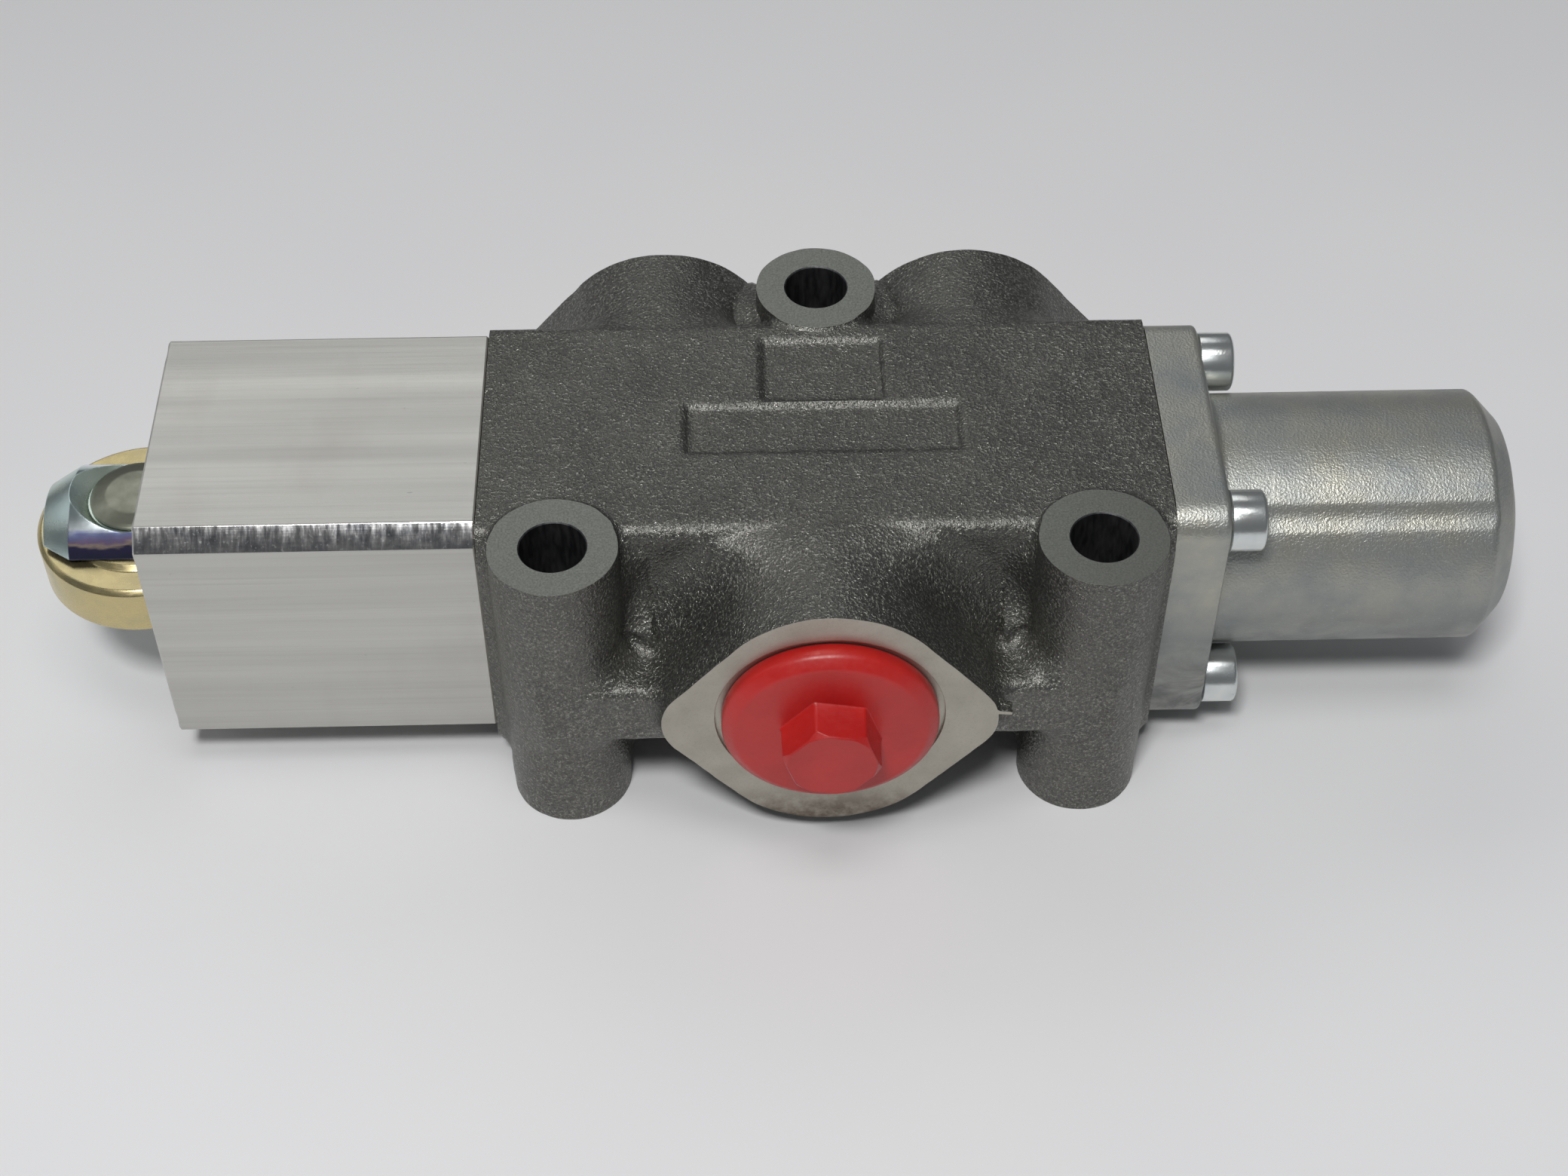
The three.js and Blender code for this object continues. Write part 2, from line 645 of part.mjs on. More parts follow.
// The wire's centre line: one closed turn at each end and open turns between.
class SpringCurve extends THREE.Curve {
  getPoint(t, target = new THREE.Vector3()) {
    const turns = ACTIVE_TURNS + 2;
    const closedPitch = WIRE_R * 2.1;
    const free = SPRING_RIGHT - SPRING_LEFT - 2 * WIRE_R - 2 * closedPitch;
    const turn = t * turns;
    const open = THREE.MathUtils.clamp(turn - 1, 0, ACTIVE_TURNS) / ACTIVE_TURNS;
    const closed = Math.min(turn, 1) + Math.max(turn - turns + 1, 0);
    const x = SPRING_LEFT + WIRE_R + closed * closedPitch + open * free;
    const angle = turn * 2 * Math.PI;
    const y = SPRING_MEAN_R * Math.cos(angle);
    return target.set(x, y, AXIS_Z + SPRING_MEAN_R * Math.sin(angle));
  }
}

function makeSpring() {
  const section = new THREE.Shape().absarc(0, 0, WIRE_R, 0, 2 * Math.PI, false);
  const steps = Math.round((ACTIVE_TURNS + 2) * 12);
  const options = { steps, extrudePath: new SpringCurve(), curveSegments: 3 };
  place("return_spring", solid(new THREE.ExtrudeGeometry(section, options)), "springSteel");
}

function makeSpringSeats() {
  const hubR = SPRING_MEAN_R - WIRE_R - 0.8;
  const hubEnd = INNER_SEAT_X + 6;
  const inner = turnedX([
    [INNER_SEAT_X, END_BOLT_R + 0.25],
    [INNER_SEAT_X, SPRING_MEAN_R + 2],
    [INNER_SEAT_X + SEAT_THICK, SPRING_MEAN_R + 2],
    [INNER_SEAT_X + SEAT_THICK, hubR],
    [hubEnd - 0.8, hubR],
    [hubEnd, hubR - 0.8],
    [hubEnd, END_BOLT_R + 0.25],
    [INNER_SEAT_X, END_BOLT_R + 0.25],
  ]);
  place("spring_seat_inner", inner, "zincSteel");
  const outer = turnedX([
    [OUTER_SEAT_X + SEAT_THICK, 0],
    [OUTER_SEAT_X + SEAT_THICK, SPRING_MEAN_R + 2.6],
    [OUTER_SEAT_X, SPRING_MEAN_R + 2.6],
    [OUTER_SEAT_X, hubR],
    [OUTER_SEAT_X - 4, hubR - 0.8],
    [OUTER_SEAT_X - 4, 0],
  ]);
  place("spring_seat_outer", outer, "zincSteel");
  const seat = hubEnd + SEAM;
  const bolt = joined(
    cylinderX(5, seat, seat + 4, 0, AXIS_Z, 6),
    cylinderX(END_BOLT_R, SPOOL_RIGHT - 13, seat + 0.5, 0, AXIS_Z, 12),
  );
  place("spool_end_bolt", bolt, "zincSteel");
}

// ---- protective plugs --------------------------------------------------------------------

// A moulded cup with a flange and a hexagon, turned about its port's axis.
function portPlug({ x, side }) {
  const seat = PORT_FACE_Y - SPOTFACE_DEPTH + SEAM;
  const profile = [
    [seat - PLUG_SHANK_LENGTH, PLUG_SHANK_R - PLUG_WALL],
    [seat - PLUG_SHANK_LENGTH, PLUG_SHANK_R],
    [seat, PLUG_SHANK_R],
    [seat, PLUG_R],
    [seat + PLUG_FLANGE - 1, PLUG_R],
    [seat + PLUG_FLANGE, PLUG_BEVEL_R],
    [seat + PLUG_FLANGE, 0],
    [seat + 0.6, 0],
    [seat + 0.6, PLUG_SHANK_R - PLUG_WALL],
    [seat - PLUG_SHANK_LENGTH, PLUG_SHANK_R - PLUG_WALL],
  ];
  const points = profile.map(([y, radius]) => new THREE.Vector2(radius, y));
  const cup = new THREE.LatheGeometry(points, 28);
  const head = new THREE.CylinderGeometry(PLUG_HEX_R, PLUG_HEX_R, PLUG_HEX_END - seat - 1, 6);
  head.rotateY(THREE.MathUtils.degToRad(42));
  head.translate(0, (PLUG_HEX_END + seat + 1) / 2, 0);
  for (const geometry of [cup, head]) {
    if (side < 0) geometry.rotateX(Math.PI);
    geometry.translate(x, 0, AXIS_Z);
  }
  return joined(solid(cup), solid(head));
}

function makePlugs() {
  for (const [name, port] of Object.entries(PORTS)) {
    place(`port_plug_${name}`, portPlug(port), "redPlastic");
  }
}

// ---- assembly ----------------------------------------------------------------------------

makeBody();
makeSpool();
makeSeals();
makeActuatorBlock();
makeScrews();
makeFork();
makeRoller();
makeRollerPin();
makeSpringCap();
makeSpring();
makeSpringSeats();
makePlugs();

const envelopeMiddle = (ROLLER_X - ROLLER_R + CAP_RIGHT) / 2;
valve.position.set(-envelopeMiddle, 0, 0);

export default valve;
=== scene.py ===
"""Looks for the roller-operated spool valve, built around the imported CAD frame.

Shapes are worked out in millimetres, with x = 0 at the middle of the mounting holes, y = 0 on
the spool axis and z = 0 at the feet. meshed() moves them into the row frame, in metres.
"""

import math

import bpy
import numpy as np
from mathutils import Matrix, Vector


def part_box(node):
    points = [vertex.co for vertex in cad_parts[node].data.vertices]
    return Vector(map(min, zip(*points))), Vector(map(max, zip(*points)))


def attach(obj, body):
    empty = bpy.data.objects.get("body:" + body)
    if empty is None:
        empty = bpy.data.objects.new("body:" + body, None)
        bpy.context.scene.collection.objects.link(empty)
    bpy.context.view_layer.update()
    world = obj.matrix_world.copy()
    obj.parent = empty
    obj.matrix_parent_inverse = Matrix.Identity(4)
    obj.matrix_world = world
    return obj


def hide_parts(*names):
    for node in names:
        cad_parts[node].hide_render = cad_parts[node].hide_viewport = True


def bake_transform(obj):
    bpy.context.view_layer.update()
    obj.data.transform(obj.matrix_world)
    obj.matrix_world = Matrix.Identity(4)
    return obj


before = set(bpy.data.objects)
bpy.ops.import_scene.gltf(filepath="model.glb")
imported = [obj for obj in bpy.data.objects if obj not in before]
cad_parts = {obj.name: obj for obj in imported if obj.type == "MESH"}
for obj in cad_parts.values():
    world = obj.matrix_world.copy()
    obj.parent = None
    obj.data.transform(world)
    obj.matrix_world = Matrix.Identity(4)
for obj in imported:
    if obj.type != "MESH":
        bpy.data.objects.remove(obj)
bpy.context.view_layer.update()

MM = 0.001
TURN = 2 * math.pi
BODY_LEFT = -47.3
SHIFT_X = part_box("valve_body")[0].x / MM - BODY_LEFT


def ends(node, axis=0):
    """Where a CAD solid starts and ends along an axis, in this script's millimetres."""
    shift = SHIFT_X if axis == 0 else 0
    return [round(corner[axis] / MM - shift, 2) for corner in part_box(node)]


def middle(node, axis=0):
    return round(sum(ends(node, axis)) / 2, 2)


BODY_RIGHT = ends("valve_body")[1]
PORT_FACE_Y = ends("valve_body", 1)[1]
COLUMN_TOP = ends("valve_body", 2)[1]
BAR_HALF = ends("actuator_block", 1)[1]
BLOCK_LEFT, BLOCK_RIGHT = ends("actuator_block")
FORK_LEFT, FORK_RIGHT = ends("roller_fork")
FORK_R = ends("roller_fork", 1)[1]
AXIS_Z = middle("roller_fork", 2)
CENTRE = (0, 0, AXIS_Z)
ROLLER_X = middle("roller")
LINK_PIN_X = middle("spool_link_pin")
CAP_LEFT, CAP_RIGHT = ends("spring_cap")


# ---- meshes ----


def linked(name, data):
    obj = bpy.data.objects.new(name, data)
    bpy.context.scene.collection.objects.link(obj)
    return obj


def meshed(name, points, faces, material):
    """An object from points in millimetres and a list of faces."""
    points = (np.asarray(points, float) + (SHIFT_X, 0, 0)) * MM
    mesh = bpy.data.meshes.new(name)
    mesh.from_pydata(points.tolist(), [], [list(f) for f in faces])
    mesh.validate()
    mesh.materials.append(material)
    return linked(name, mesh)


def rounded(corners, closed=False):
    """A polyline whose corners (a, b, radius) are rounded by arcs."""
    result = []
    count = len(corners)
    for i, (a, b, *rest) in enumerate(corners):
        radius = rest[0] if rest else 0
        here = np.array((a, b), float)
        if radius <= 0 or (not closed and i in (0, count - 1)):
            result.append(tuple(here))
            continue
        before = np.array(corners[i - 1][:2], float) - here
        after = np.array(corners[(i + 1) % count][:2], float) - here
        before /= np.hypot(*before)
        after /= np.hypot(*after)
        half = math.acos(np.clip(before @ after, -1, 1)) / 2
        centre = here + (before + after) / np.hypot(*(before + after)) * radius / math.sin(half)
        start, end = [here + side * radius / math.tan(half) - centre for side in (before, after)]
        sweep = math.atan2(start[0] * end[1] - start[1] * end[0], start @ end)
        steps = max(2, math.ceil(abs(sweep) / math.radians(18)))
        for k in range(steps + 1):
            angle = sweep * k / steps
            c, s = math.cos(angle), math.sin(angle)
            a = centre[0] + c * start[0] - s * start[1]
            b = centre[1] + s * start[0] + c * start[1]
            result.append((a, b))
    return result


# Where (along, across, up) of a turned shape point, for each axis it can be turned about.
AXES = {
    "x": lambda along, u, v: (along, u, v),
    "y": lambda along, u, v: (v, along, u),
    "z": lambda along, u, v: (u, v, along),
}


def turned(name, profile, axis, centre, material, sides=96):
    """A profile of (place along the axis, radius) turned about an axis through centre.
    A profile that doesn't start and end on the axis is closed into a ring."""
    ring = not (profile[0][1] < 1e-9 and profile[-1][1] < 1e-9)
    points, rows = [], []
    angles = [TURN * k / sides for k in range(sides)]
    for along, radius in profile:
        if radius < 1e-9:
            rows.append([len(points)] * sides)
            points.append(AXES[axis](along, 0, 0))
        else:
            rows.append(list(range(len(points), len(points) + sides)))
            for a in angles:
                points.append(AXES[axis](along, radius * math.cos(a), radius * math.sin(a)))
    faces = []
    following = rows[1:] + rows[:1] if ring else rows[1:]
    for low, high in zip(rows, following):
        for k in range(sides):
            n = (k + 1) % sides
            corner = [low[k], low[n], high[n], high[k]]
            face = [v for i, v in enumerate(corner) if v not in corner[:i]]
            if len(face) > 2:
                faces.append(face)
    obj = meshed(name, np.array(points) + np.array(centre), faces, material)
    outward(obj)
    return obj


def stepped(start, *steps):
    """A stepped cylinder's profile from start, where each step is (its far end, its radius)."""
    profile = [(start, 0)]
    for end, radius in steps:
        profile += [(profile[-1][0], radius), (end, radius)]
    return profile + [(profile[-1][0], 0)]


def outward(obj):
    """Turns every face over if the closed mesh is inside out."""
    mesh = obj.data
    mesh.calc_loop_triangles()
    co = np.zeros(len(mesh.vertices) * 3)
    mesh.vertices.foreach_get("co", co)
    tri = np.zeros(len(mesh.loop_triangles) * 3, np.int32)
    mesh.loop_triangles.foreach_get("vertices", tri)
    a, b, c = co.reshape(-1, 3)[tri.reshape(-1, 3)].transpose(1, 0, 2)
    if np.einsum("ij,ij->", a, np.cross(b, c)) < 0:
        mesh.flip_normals()


def drawn(name, outline, copies, place, material):
    """A solid through copies of a convex outline. outline(inset) gives one copy's points, copies
    lists each copy's (depth, inset), and place maps (depth, a, b) into space."""
    points, rows = [], []
    for depth, inset in copies:
        row = outline(inset)
        rows.append(range(len(points), len(points) + len(row)))
        points += [place(depth, a, b) for a, b in row]
    faces = [list(rows[0])[::-1], list(rows[-1])]
    for low, high in zip(rows, rows[1:]):
        n = len(low)
        faces += [[low[k], low[(k + 1) % n], high[(k + 1) % n], high[k]] for k in range(n)]
    obj = meshed(name, points, faces, material)
    outward(obj)
    return obj


def block(name, low, high, material):
    """A cutting box."""
    xs, ys, zs = zip(low, high)
    corners = [(x, y, z) for x in xs for y in ys for z in zs]
    faces = [(0, 1, 3, 2), (4, 6, 7, 5), (0, 4, 5, 1), (2, 3, 7, 6), (0, 2, 6, 4), (1, 5, 7, 3)]
    obj = meshed(name, corners, faces, material)
    outward(obj)
    return obj


def carve(target, operation, tools):
    """Applies one boolean per tool to target and removes the tool. The faces that a tool cuts
    keep the tool's material."""
    for tool in tools:
        change = target.modifiers.new("carve", "BOOLEAN")
        change.operation = operation
        change.object = tool
        change.solver = "MANIFOLD"
        change.material_mode = "TRANSFER"
        shape = target.evaluated_get(bpy.context.evaluated_depsgraph_get())
        mesh = bpy.data.meshes.new_from_object(shape)
        if not mesh.polygons:
            raise RuntimeError(f"{target.name}: {tool.name} left nothing")
        target.modifiers.remove(change)
        old = target.data
        target.data = mesh
        bpy.data.meshes.remove(old)
        bpy.data.meshes.remove(tool.data)
    return target


def shaded(obj, angle=32):
    """Smooth faces, with sharp edges at steep angles and between materials."""
    mesh = obj.data
    mesh.polygons.foreach_set("use_smooth", [True] * len(mesh.polygons))
    mesh.set_sharp_from_angle(angle=math.radians(angle))
    if len(mesh.materials) > 1:
        users = [[] for _ in mesh.edges]
        index = {tuple(e.vertices): e.index for e in mesh.edges}
        for face in mesh.polygons:
            for key in face.edge_keys:
                found = index.get(key, index.get(key[::-1]))
                users[found].append(face.material_index)
        sharp = mesh.attributes.get("sharp_edge")
        sharp = sharp or mesh.attributes.new("sharp_edge", "BOOLEAN", "EDGE")
        flags = np.zeros(len(mesh.edges), bool)
        sharp.data.foreach_get("value", flags)
        flags |= np.array([len(set(u)) > 1 for u in users])
        sharp.data.foreach_set("value", flags)
    return obj


def surface_nets(field, origin, step):
    """Points and quads on a sampled field's zero surface, one point in each cell it crosses."""
    cells = np.array(field.shape) - 1
    total = np.zeros((*cells, 3), np.float32)
    count = np.zeros(cells, np.float32)
    ticks = [np.arange(n, dtype=np.float32) for n in field.shape]
    spots = np.stack(np.meshgrid(*ticks, indexing="ij"), -1)
    crossings = []
    for axis in range(3):
        u, v = (axis + 1) % 3, (axis + 2) % 3
        low, high = [slice(None)] * 3, [slice(None)] * 3
        low[axis], high[axis] = slice(None, -1), slice(1, None)
        f0, f1 = field[tuple(low)], field[tuple(high)]
        crosses = (f0 < 0) != (f1 < 0)
        point = spots[tuple(low)].copy()
        point[..., axis] += np.where(crosses, f0 / np.where(crosses, f0 - f1, 1), 0)
        point *= crosses[..., None]
        for du in (0, 1):
            for dv in (0, 1):
                part = [slice(None)] * 3
                part[u], part[v] = slice(du, du + cells[u]), slice(dv, dv + cells[v])
                total += point[tuple(part)]
                count += crosses[tuple(part)]
        crossings.append((axis, u, v, crosses))
    used = count > 0
    number = np.full(cells, -1)
    number[used] = np.arange(used.sum())
    points = total[used] / count[used][:, None] * step + origin
    quads = []
    for axis, u, v, crosses in crossings:
        edge = np.argwhere(crosses)
        eu, ev = edge[:, u], edge[:, v]
        edge = edge[(eu > 0) & (ev > 0) & (eu < cells[u]) & (ev < cells[v])]
        corner = []
        for du, dv in ((1, 1), (0, 1), (0, 0), (1, 0)):
            cell = edge.copy()
            cell[:, u] -= du
            cell[:, v] -= dv
            corner.append(number[tuple(cell.T)])
        quad = np.stack(corner, 1)
        turn = field[tuple(edge.T)] >= 0
        quad[turn] = quad[turn][:, ::-1]
        quads.append(quad)
    return points, np.concatenate(quads)


def from_field(name, field, low, high, step, material, relief):
    """A mesh of the surface where field(x, y, z) is zero. Each point is brought closer to the
    surface three times, and relief(x, y, z) then moves it along the normal."""
    axes = [np.arange(a, b + step, step, dtype=np.float32) for a, b in zip(low, high)]
    values = field(*np.meshgrid(*axes, indexing="ij"))
    points, quads = surface_nets(values, np.array(low), step)
    points = points.astype(np.float64)
    probe, least_slope, farthest = 0.15, 0.3, 0.5 * step
    for _ in range(3):
        here = field(*points.T)
        apart = [field(*(points + d).T) - field(*(points - d).T) for d in np.eye(3) * probe]
        slope = np.stack([a / (2 * probe) for a in apart], 1)
        size = np.maximum(np.linalg.norm(slope, axis=1), least_slope)
        points -= np.clip(here / size, -farthest, farthest)[:, None] * slope / size[:, None]
    points += relief(*points.T)[:, None] * slope / size[:, None]
    return meshed(name, points, quads.tolist(), material)


# ---- distances to simple shapes ----
#
# A shape is a pair: the distance to its surface, below 0 inside, and the direction in which
# that distance grows. fillet_join needs the directions to fit a ball of one radius in a corner.


def fillet_join(first, second, radius):
    """The union of two shapes, with a fillet in the corner where they meet and none where they
    run level."""
    (a, na), (b, nb) = first, second
    level = np.clip((na * nb).sum(0), -0.6, 0.995)
    u, v = np.maximum(radius - a, 0), np.maximum(radius - b, 0)
    spread = 1 - level * level
    along_a, along_b = (u - level * v) / spread, (v - level * u) / spread
    corner = (along_a > 0) & (along_b > 0) & (u > 0) & (v > 0)
    reach = np.sqrt(np.maximum((u * u + v * v - 2 * level * u * v) / spread, 1e-12))
    distance = np.where(corner, np.minimum(radius - reach, np.minimum(a, b)), np.minimum(a, b))
    mixed = (along_a * na + along_b * nb) / reach
    return distance, np.where(corner, mixed, np.where(a < b, na, nb))


def round_cut(a, b, radius):
    """Distance to what lies in both a and b, with the edge rounded."""
    outer = np.hypot(np.maximum(radius + a, 0), np.maximum(radius + b, 0))
    return np.minimum(-radius, np.maximum(a, b)) + outer


def round_box(offsets, halves, radius):
    """A box about a centre that is offsets away; None is a direction without ends."""
    apart = [None if o is None else np.abs(o) - (h - radius) for o, h in zip(offsets, halves)]
    shape = next(a.shape for a in apart if a is not None)
    gone = np.full(shape, -1e3, np.float32)
    apart = np.stack([gone if a is None else a for a in apart])
    outside = np.sqrt((np.maximum(apart, 0) ** 2).sum(0))
    inside = np.minimum(apart.max(0), 0)
    signs = np.stack([np.zeros(shape) if o is None else np.sign(o) for o in offsets])
    nearest = (apart >= apart.max(0)) * 1.0
    direction = np.where(outside > 0, np.maximum(apart, 0) / np.maximum(outside, 1e-6), nearest)
    return outside + inside - radius, (direction * signs).astype(np.float32)


def smoothstep(a, b, v):
    t = np.clip((v - a) / (b - a), 0, 1)
    return t * t * (3 - 2 * t)


LENS_CAP_R, LENS_RISE, LENS_TIP_R, LENS_REACH = 16.7, 4.5, 8.0, 15.0


def lens(u, v):
    """A port boss's outline in X and Z: large arcs above and below, small arcs at both sides, and
    the tangents between them."""
    across, up = np.abs(u), np.abs(v)
    length = math.hypot(LENS_REACH, LENS_RISE)
    bu, bv = LENS_REACH / length, -LENS_RISE / length
    narrowing = (LENS_CAP_R - LENS_TIP_R) / length
    lean = math.sqrt(1 - narrowing * narrowing)
    nu, nv = -bv * lean + bu * narrowing, bu * lean + bv * narrowing
    along = across * bu + (up - LENS_RISE) * bv
    beside = -across * bv + (up - LENS_RISE) * bu
    foot = along - beside * narrowing / lean
    cap = np.hypot(across, up - LENS_RISE)
    tip = np.hypot(across - LENS_REACH, up)
    flank = across * nu + (up - LENS_RISE) * nv
    at_cap, at_tip = foot <= 0, foot >= length

    def pick(on_cap, on_tip, on_flank):
        return np.where(at_cap, on_cap, np.where(at_tip, on_tip, on_flank))

    distance = pick(cap - LENS_CAP_R, tip - LENS_TIP_R, flank - LENS_CAP_R)
    cap, tip = np.maximum(cap, 1e-6), np.maximum(tip, 1e-6)
    gu = pick(across / cap, (across - LENS_REACH) / tip, nu)
    gv = pick((up - LENS_RISE) / cap, up / tip, nv)
    return distance, np.stack([gu * np.sign(u), np.zeros_like(gu), gv * np.sign(v)])


def rod_z(x, y, radius):
    """A round rod along Z, x and y away from its axis."""
    reach = np.maximum(np.hypot(x, y), 1e-6)
    return reach - radius, np.stack([x / reach, y / reach, np.zeros_like(reach)])


def half_space(distance, direction):
    """A flat boundary, from the distance to it and the direction in which that grows."""
    return distance, np.stack([np.full_like(distance, d) for d in direction])


def value_noise(seed, size, x, y, z):
    """Smooth noise from -1 to 1, with bumps about size millimetres apart."""
    lattice = np.random.default_rng(seed).uniform(-1, 1, (32, 32, 32))
    spot = np.stack([x, y, z]) / size + 100
    cell = np.floor(spot).astype(int)
    t = spot - cell
    t = t * t * (3 - 2 * t)
    result = 0
    for corner in range(8):
        step = np.array([corner & 1, corner >> 1 & 1, corner >> 2 & 1])
        weight = np.prod([t[i] if step[i] else 1 - t[i] for i in range(3)], axis=0)
        at = [(cell[i] + step[i]) % 32 for i in range(3)]
        result = result + weight * lattice[at[0], at[1], at[2]]
    return result


# ---- materials ----


class Graph:
    """A material's node tree, with one short call for each kind of node."""

    def __init__(self, name, colour, metallic, roughness, specular=0.5):
        self.material = bpy.data.materials.new(name)
        self.material.use_nodes = True
        self.tree = self.material.node_tree
        self.shader = self.tree.nodes["Principled BSDF"]
        self.shader.inputs["Base Color"].default_value = (*colour, 1)
        self.shader.inputs["Metallic"].default_value = metallic
        self.shader.inputs["Roughness"].default_value = roughness
        self.shader.inputs["Specular IOR Level"].default_value = specular
        self.place = self.node("ShaderNodeTexCoord").outputs["Object"]
        self.normal = None
        self.material.diffuse_color = (*colour, 1)

    def node(self, kind, **settings):
        made = self.tree.nodes.new(kind)
        for key, value in settings.items():
            setattr(made, key, value)
        return made

    def feed(self, socket, value):
        """Links a node's output to socket, or sets socket to a plain value."""
        if isinstance(value, bpy.types.NodeSocket):
            self.tree.links.new(value, socket)
        else:
            socket.default_value = value

    def stretched(self, x=1, y=1, z=1):
        """The place in the object, squeezed along an axis so that a texture stretches there."""
        made = self.node("ShaderNodeMapping")
        made.inputs["Scale"].default_value = (x, y, z)
        self.feed(made.inputs["Vector"], self.place)
        return made.outputs["Vector"]

    def along(self, axis):
        """The place along X, Y or Z, in metres."""
        made = self.node("ShaderNodeSeparateXYZ")
        self.feed(made.inputs[0], self.place)
        return made.outputs[axis]

    def heights(self, low, high):
        """0 at the height low and 1 at high, in millimetres."""
        made = self.node("ShaderNodeMapRange")
        self.feed(made.inputs["Value"], self.along("Z"))
        made.inputs["From Min"].default_value = low * MM
        made.inputs["From Max"].default_value = high * MM
        return made.outputs["Result"]

    def noise(self, size, detail=2, roughness=0.5, where=None, distortion=0):
        """Noise with bumps about size millimetres across."""
        made = self.node("ShaderNodeTexNoise")
        self.feed(made.inputs["Vector"], where or self.place)
        made.inputs["Scale"].default_value = 1 / (size * MM)
        made.inputs["Detail"].default_value = detail
        made.inputs["Roughness"].default_value = roughness
        made.inputs["Distortion"].default_value = distortion
        return made.outputs["Fac"]

    def ramp(self, factor, *stops):
        """Colours or numbers at places along factor."""
        made = self.node("ShaderNodeValToRGB")
        self.feed(made.inputs["Fac"], factor)
        points = made.color_ramp.elements
        while len(points) < len(stops):
            points.new(1)
        for point, (at, value) in zip(points, stops):
            point.position = at
            rgb = value if isinstance(value, tuple) else (value, value, value)
            point.color = (*rgb, 1)
        return made.outputs["Color"]

    def sums(self, operation, a, b=0.0, c=0.0):
        """One step of arithmetic on numbers or sockets."""
        made = self.node("ShaderNodeMath", operation=operation)
        for socket, value in zip(made.inputs, (a, b, c)):
            self.feed(socket, value)
        return made.outputs[0]

    def mix(self, factor, a, b):
        """The colour a where factor is 0 and b where it is 1."""
        made = self.node("ShaderNodeMix", data_type="RGBA")
        self.feed(made.inputs["Factor"], factor)
        for name, value in (("A", a), ("B", b)):
            sockets = [s for s in made.inputs if s.name == name and s.type == "RGBA"]
            self.feed(sockets[0], (*value, 1) if isinstance(value, tuple) else value)
        return [s for s in made.outputs if s.type == "RGBA"][0]

    def bump(self, height, depth):
        """Adds relief that is depth millimetres deep."""
        made = self.node("ShaderNodeBump")
        made.inputs["Distance"].default_value = depth * MM
        self.feed(made.inputs["Height"], height)
        if self.normal:
            self.feed(made.inputs["Normal"], self.normal)
        self.normal = made.outputs["Normal"]

    def soft_edges(self, radius):
        """Rounds the look of every edge, by a radius in millimetres."""
        made = self.node("ShaderNodeBevel", samples=4)
        made.inputs["Radius"].default_value = radius * MM
        self.normal = made.outputs["Normal"]

    def done(self, colour, roughness=None):
        """Joins the colour, the roughness and the relief to the shader."""
        self.feed(self.shader.inputs["Base Color"], colour)
        if roughness is not None:
            self.feed(self.shader.inputs["Roughness"], roughness)
        if self.normal:
            self.feed(self.shader.inputs["Normal"], self.normal)
        return self.material


def cast_iron():
    g = Graph("cast_iron", (0.13, 0.128, 0.12), 0.85, 0.44)
    swell = g.noise(1.5, 2, 0.5)
    grain = g.noise(0.42, 2, 0.55)
    fine = g.noise(0.16, 2, 0.5)
    patch = g.noise(11, 3, 0.55)
    speck = g.sums("MULTIPLY", grain, fine)
    tone = g.ramp(patch, (0.3, (0.115, 0.114, 0.105)), (0.7, (0.15, 0.148, 0.136)))
    # The light specks are painted glints of the grain.
    colour = g.mix(g.ramp(speck, (0.27, 0.0), (0.42, 1.0)), tone, (0.4, 0.395, 0.36))
    colour = g.mix(g.ramp(speck, (0.12, 0.7), (0.22, 0.0)), colour, (0.045, 0.045, 0.043))
    g.bump(swell, 0.07)
    g.bump(g.ramp(grain, (0.35, 0.0), (0.52, 0.2), (0.72, 1.0)), 0.12)
    g.bump(fine, 0.03)
    return g.done(colour, g.ramp(speck, (0.2, 0.42), (0.4, 0.28)))


def machined_iron():
    g = Graph("machined_iron", (0.4, 0.385, 0.35), 0.95, 0.36)
    patch = g.noise(5, 4, 0.6)
    fine = g.noise(0.22, 2, 0.6)
    colour = g.ramp(patch, (0.3, (0.40, 0.38, 0.325)), (0.7, (0.47, 0.45, 0.39)))
    pore = g.sums("MULTIPLY", g.ramp(fine, (0.35, 1.0), (0.45, 0.0)), 0.25)
    colour = g.mix(pore, colour, (0.27, 0.26, 0.235))
    low = g.ramp(g.heights(5, 12), (0.0, 1.0), (1.0, 0.0))
    dirt = g.sums("MULTIPLY", g.ramp(g.noise(3.5, 4, 0.65), (0.3, 0.2), (0.55, 1.0)), low)
    colour = g.mix(dirt, colour, (0.13, 0.10, 0.075))
    g.soft_edges(0.12)
    g.bump(fine, 0.008)
    return g.done(colour, g.ramp(patch, (0.3, 0.42), (0.7, 0.34)))


def bore_painted_shade():
    # Dark iron for the bores and holes: painted shade.
    g = Graph("bored_iron_painted_shade", (0.06, 0.06, 0.063), 0.8, 0.5)
    streak = g.noise(0.8, 2, 0.5, g.stretched(1, 1, 0.25))
    colour = g.ramp(streak, (0.35, (0.035, 0.036, 0.04)), (0.7, (0.1, 0.1, 0.105)))
    g.bump(streak, 0.01)
    return g.done(colour)


